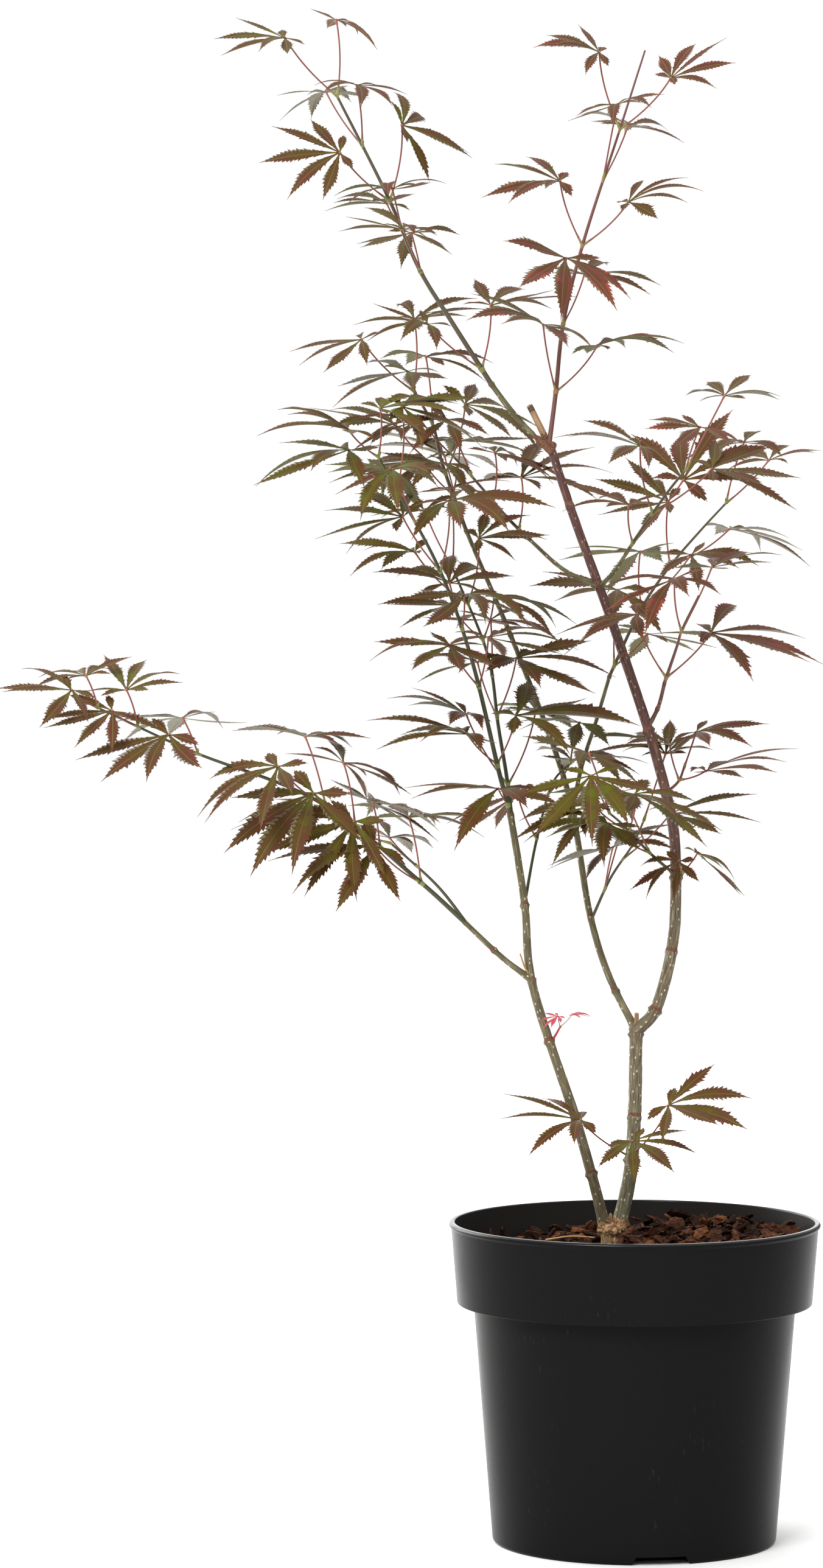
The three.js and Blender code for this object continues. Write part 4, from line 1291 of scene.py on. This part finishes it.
def lobePoints(degrees, reach, rows, size, vary):  # in the leaf's own frame, in millimetres
    steps = blade["steps"]
    fine = np.linspace(0, 1, steps + 1)
    rise = blade["rise"] + vary(blade["sway"])
    least = blade["leastFall"]
    fall = -blade["fall"] * (least + (1 - least) * reach) + vary(blade["sway"] * blade["tipSway"])
    pitch = np.radians(rise + (fall - rise) * fine ** blade["lateness"])
    heading = np.radians(degrees + vary(blade["aim"])
                         + (vary(blade["bend"]) + blade["backBend"] * degrees) * fine)
    tangent = np.stack([np.cos(pitch) * np.cos(heading), np.cos(pitch) * np.sin(heading), np.sin(pitch)], 1)
    line = np.concatenate([np.zeros((1, 3)), np.cumsum((tangent[1:] + tangent[:-1]) / 2, axis=0)])
    line *= reach * size / steps
    lateral = np.stack([-np.sin(heading), np.cos(heading), np.zeros(steps + 1)], 1)
    normal = np.cross(tangent, lateral)
    twist = np.radians(vary(blade["twist"])) * fine[:, None]
    lateral, normal = (lateral * np.cos(twist) + normal * np.sin(twist),
                       normal * np.cos(twist) - lateral * np.sin(twist))
    width = size * blade["halfWidth"] * (blade["narrowest"] + (1 - blade["narrowest"]) * reach)
    width *= 1 + vary(blade["widthVary"])
    fold = blade["fold"] * (1 + vary(blade["foldVary"]))
    crease = blade["crease"]
    shares, widths = zip(*blade["profile"])

    def sample(values, share):
        return np.array([np.interp(share, fine, values[:, k]) for k in range(3)])

    upper, lower = [], []
    for r, (share, out, forward) in enumerate(rows):
        half = width * float(np.interp(share, shares, widths))
        here, across, over = sample(line, share), sample(lateral, share), sample(normal, share)
        ahead = sample(tangent, share) * (forward * reach * size * (1 + vary(blade["forwardVary"])))
        jag = 1 + (out - 1) * (1 + vary(blade["uneven"]))
        rib = min(blade["midrib"] / max(half, 0.01), blade["widestMidrib"])
        pleat = blade["pleat"] * half * (1 if r % 2 else -1)
        for q in (-1, -crease, -rib, rib, crease, 1):
            isEdge, isCrease = abs(q) == 1, abs(q) == crease
            wide = half * q * (jag if isEdge else 1)
            lift = fold * half * abs(q) * (1 - blade["cup"] * abs(q)) + (pleat if isCrease else 0)
            spot = here + across * wide + over * lift + (ahead if isEdge else 0)
            upper.append(spot)
            if not isEdge:
                thin = blade["thickness"] * (blade["creaseThickness"] if isCrease else 1)
                lower.append(spot - over * (thin * (1 - blade["tipThinning"] * share)))
    return np.array(upper + [line[-1]] + lower)


def tintOf(share, column, tint, patch):  # an upper face's place in the row of leaf colours
    edge = leafTint["edge"] if column in (0, columns - 2) else 0
    tip = leafTint["tip"] * max(share - (1 - leafTint["tipReach"]), 0) / leafTint["tipReach"]
    green = leafTint["foot"] * (1 - smoothstep(share, *leafTint["footFade"]))
    return tint + edge + tip + green + patch


def addLeaf(leaf, vary, tint, store, sprout=False):
    frameOf = np.stack([leaf["ahead"], leaf["left"], leaf["face"]])
    tops, unders = len(leafColours["top"]), len(leafColours["under"])
    drift = np.array([vary(leafTint["patchDrift"]) for _ in range(3)])
    under = int((vary(0.5) + 0.5) * unders)
    for degrees, reach, kind in lobeOrder:
        rows, faces, kinds = lobeKinds[kind]
        local = lobePoints(degrees, reach, rows, leaf["size"], vary)
        lobeTint = tint + vary(leafTint["lobeVary"])
        slots = []
        for face, (isTop, r, c) in zip(faces, kinds):
            if sprout:
                slots.append((r + c) % len(leafColours["sprout"]))
            elif c == columns // 2 - 1:
                slots.append(tops + unders)
            elif not isTop:
                slots.append(tops + under)
            else:
                spot = Vector(local[face[0]] + drift) / leafTint["patchGrain"]
                share = rows[min(r, len(rows) - 1)][0]
                value = tintOf(share, c, lobeTint, leafTint["patch"] * noise.noise(spot))
                slots.append(min(max(round(value), 0), tops - 1))
        addTo(store, leaf["centre"] + local @ frameOf, faces, slots)


def plainMaterials(stem, codes, roughness, gloss=0.5):
    return [plainMaterial(f"{stem}{i + 1}", code, roughness, gloss) for i, code in enumerate(codes)]


leafStalk = {
    "steps": 10,
    "sides": 8,
    "girth": 1.2,
    "shaft": 0.85,  # share of the girth that its middle has
    "foot": (0.9, 0.9),  # how much its foot swells, and over how many steps
    "tip": 0.35,
    "fullLeaf": 30,  # a smaller leaf has a thinner stalk
    "hub": [(0, -1), (0.8, -0.6), (1, 0), (0.75, 0.5), (0, 0.8)],
    "hubLeaf": 40,  # and a smaller hub
}
footSlot, shaftSlot, tipSlot, hubSlot = range(4)


def addStalk(leaf, store):  # from inside the shoot's bark to the leaf's hub, as one bent line
    root, elbow, centre = leaf["root"], leaf["elbow"], leaf["centre"]
    control = 2 * elbow - (root + centre) / 2
    last, sides = leafStalk["steps"], leafStalk["sides"]
    run = [root * (1 - t) ** 2 + control * 2 * t * (1 - t) + centre * t * t
           for t in [i / last for i in range(last + 1)]]
    thick = leafStalk["girth"] / 2 * min(1, leaf["size"] / leafStalk["fullLeaf"])
    swell, spread = leafStalk["foot"]
    radii = [thick * (leafStalk["shaft"] + swell * bell(i, spread) + leafStalk["tip"] * (i == last))
             for i in range(last + 1)]
    tube, faces, _ = tubeMesh(run, radii, sides)
    rings = [k // sides for k in range(len(faces))]
    addTo(store, tube, faces, [
        footSlot if ring < 1 else tipSlot if ring >= last - 1 else shaftSlot for ring in rings])
    hub, faces = latheMesh(leafStalk["hub"], sides)
    size = min(1, leaf["size"] / leafStalk["hubLeaf"])
    frameOf = np.stack([leaf["ahead"], leaf["left"], leaf["face"]])
    addTo(store, leaf["centre"] + (np.array(hub) * size) @ frameOf, faces, [hubSlot] * len(faces))


twig = {
    "sides": 12,
    "ring": 1.5,
    "nodeHeight": 0.32,  # a node's ring, as a share of the radius
    "nodeWidth": 1.3,
    "sink": 2.0,
    "sun": (-0.5, -0.25, 0.8),
    "bud": [(0, 0), (0.7, 0.08), (1, 0.3), (0.8, 0.6), (0.35, 0.85), (0, 1)],
    "budSize": (2.6, 0.8),  # length and half width
    "budSides": 8,
    "budAim": (0.55, 60, 0.5),  # outward, millimetres of stalk for one part along it, and upward
    "budLift": 0.6,
}
sunnySlot, shadySlot, nodeSlot = range(3)


def addBud(leaf, shoot, store):  # in the angle between a leaf's stalk and the shoot
    out, along, rise = twig["budAim"]
    length, width = twig["budSize"]
    aim = unit(leaf["outward"] * out + (leaf["centre"] - leaf["root"]) / along + up * rise)
    root = leaf["root"] + leaf["outward"] * (shoot["girth"][1] / 2) + up * twig["budLift"]
    bud, faces = latheMesh(twig["bud"], twig["budSides"])
    side = unit(np.cross(aim, up + 0.01))  # also for a bud that points straight up
    frameOf = np.stack([side * width, np.cross(aim, side) * width, aim * length])
    addTo(store, root + np.array(bud) @ frameOf, faces, [nodeSlot] * len(faces))


def addTwig(shoot, store):
    at, length = makeWay(shoot["way"])
    rings = max(4, round(length / twig["ring"]))
    nodesAt = [pair[0] * length for pair in shoot["pairs"]]
    centres, radii = [at(0)[0] - at(0)[1] * twig["sink"]], []
    for i in range(rings + 1):
        share = i / rings
        radius = (shoot["girth"][0] * (1 - share) + shoot["girth"][1] * share) / 2
        swell = sum(bell(share * length - node, twig["nodeWidth"]) for node in nodesAt)
        radii.append(radius * (1 + twig["nodeHeight"] * min(swell, 1)))
        centres.append(at(share)[0])
    radii.insert(0, radii[0])
    tube, faces, _ = tubeMesh(centres, radii, twig["sides"])
    slots = []
    for k, face in enumerate(faces):
        ring = k // twig["sides"]
        run = min(ring / rings, 1) * length
        middle = np.mean([tube[corner] for corner in face], axis=0) - centres[min(ring, rings)]
        nearNode = min(abs(run - node) for node in nodesAt) < twig["nodeWidth"]
        sunny = np.dot(middle, twig["sun"]) > 0
        slots.append(nodeSlot if nearNode else sunnySlot if sunny else shadySlot)
    addTo(store, tube, faces, slots)


def addFoliage():
    # maple leaf: thin and waxy, so the top has a soft gloss and the grey underside almost none
    leafFinishes = [
        *plainMaterials("mapleLeafTop", leafColours["top"], 0.52, 0.17),
        *plainMaterials("mapleLeafUnder", leafColours["under"], 0.8, 0.1),
        plainMaterial("mapleLeafMidrib", leafColours["midrib"], 0.5, 0.25)]
    # leaves that unfold: pink, tender and a little moist
    sproutFinishes = plainMaterials("youngSproutLeaf", leafColours["sprout"], 0.45)
    # leaf stalks: smooth and wiry, green at the foot and red towards the leaf
    stalkFinishes = [plainMaterial(f"mapleLeafStalk{word.capitalize()}", code, 0.5)
                     for word, code in stalkColours.items()]
    stalkFinishes.append(plainMaterial("mapleLeafHub", leafColours["hub"], 0.5))
    # twigs of this year: smooth, redder on their sunny side and pale at a node
    twigFinishes = {kind: plainMaterials(f"{kind}TwigBark", codes, 0.5)
                    for kind, codes in twigColours.items()}
    total = 0
    for number, (name, shoot) in enumerate(shoots.items(), 1):
        sprout = name == "young_sprout"
        leaves, stalks, twigs = ([], [], []), ([], [], []), ([], [], [])
        vary = seededVary(blade["seed"] + number)
        for leaf in keptLeaves(name, shoot, number):
            addLeaf(leaf, vary, shoot["tint"] + vary(leafTint["leafVary"]), leaves, sprout)
            addStalk(leaf, stalks)
            total += 1
            if not sprout:
                addBud(leaf, shoot, twigs)
        addTwig(shoot, twigs)
        stem = camel(name.replace("_foliage", ""))
        kinds = (("Leaves", leaves, sproutFinishes if sprout else leafFinishes),
                 ("Stalks", stalks, stalkFinishes), ("Twig", twigs, twigFinishes[shoot["bark"]]))
        for kind, (points, faces, slots), finishes in kinds:
            if points:
                piece = newPiece(stem + kind, np.array(points) * millimetre, faces, finishes, slots)
                place(piece, "young_leaf" if sprout else "foliage", name)
    print("leaves:", total)


addFoliage()
print("foliage grown")
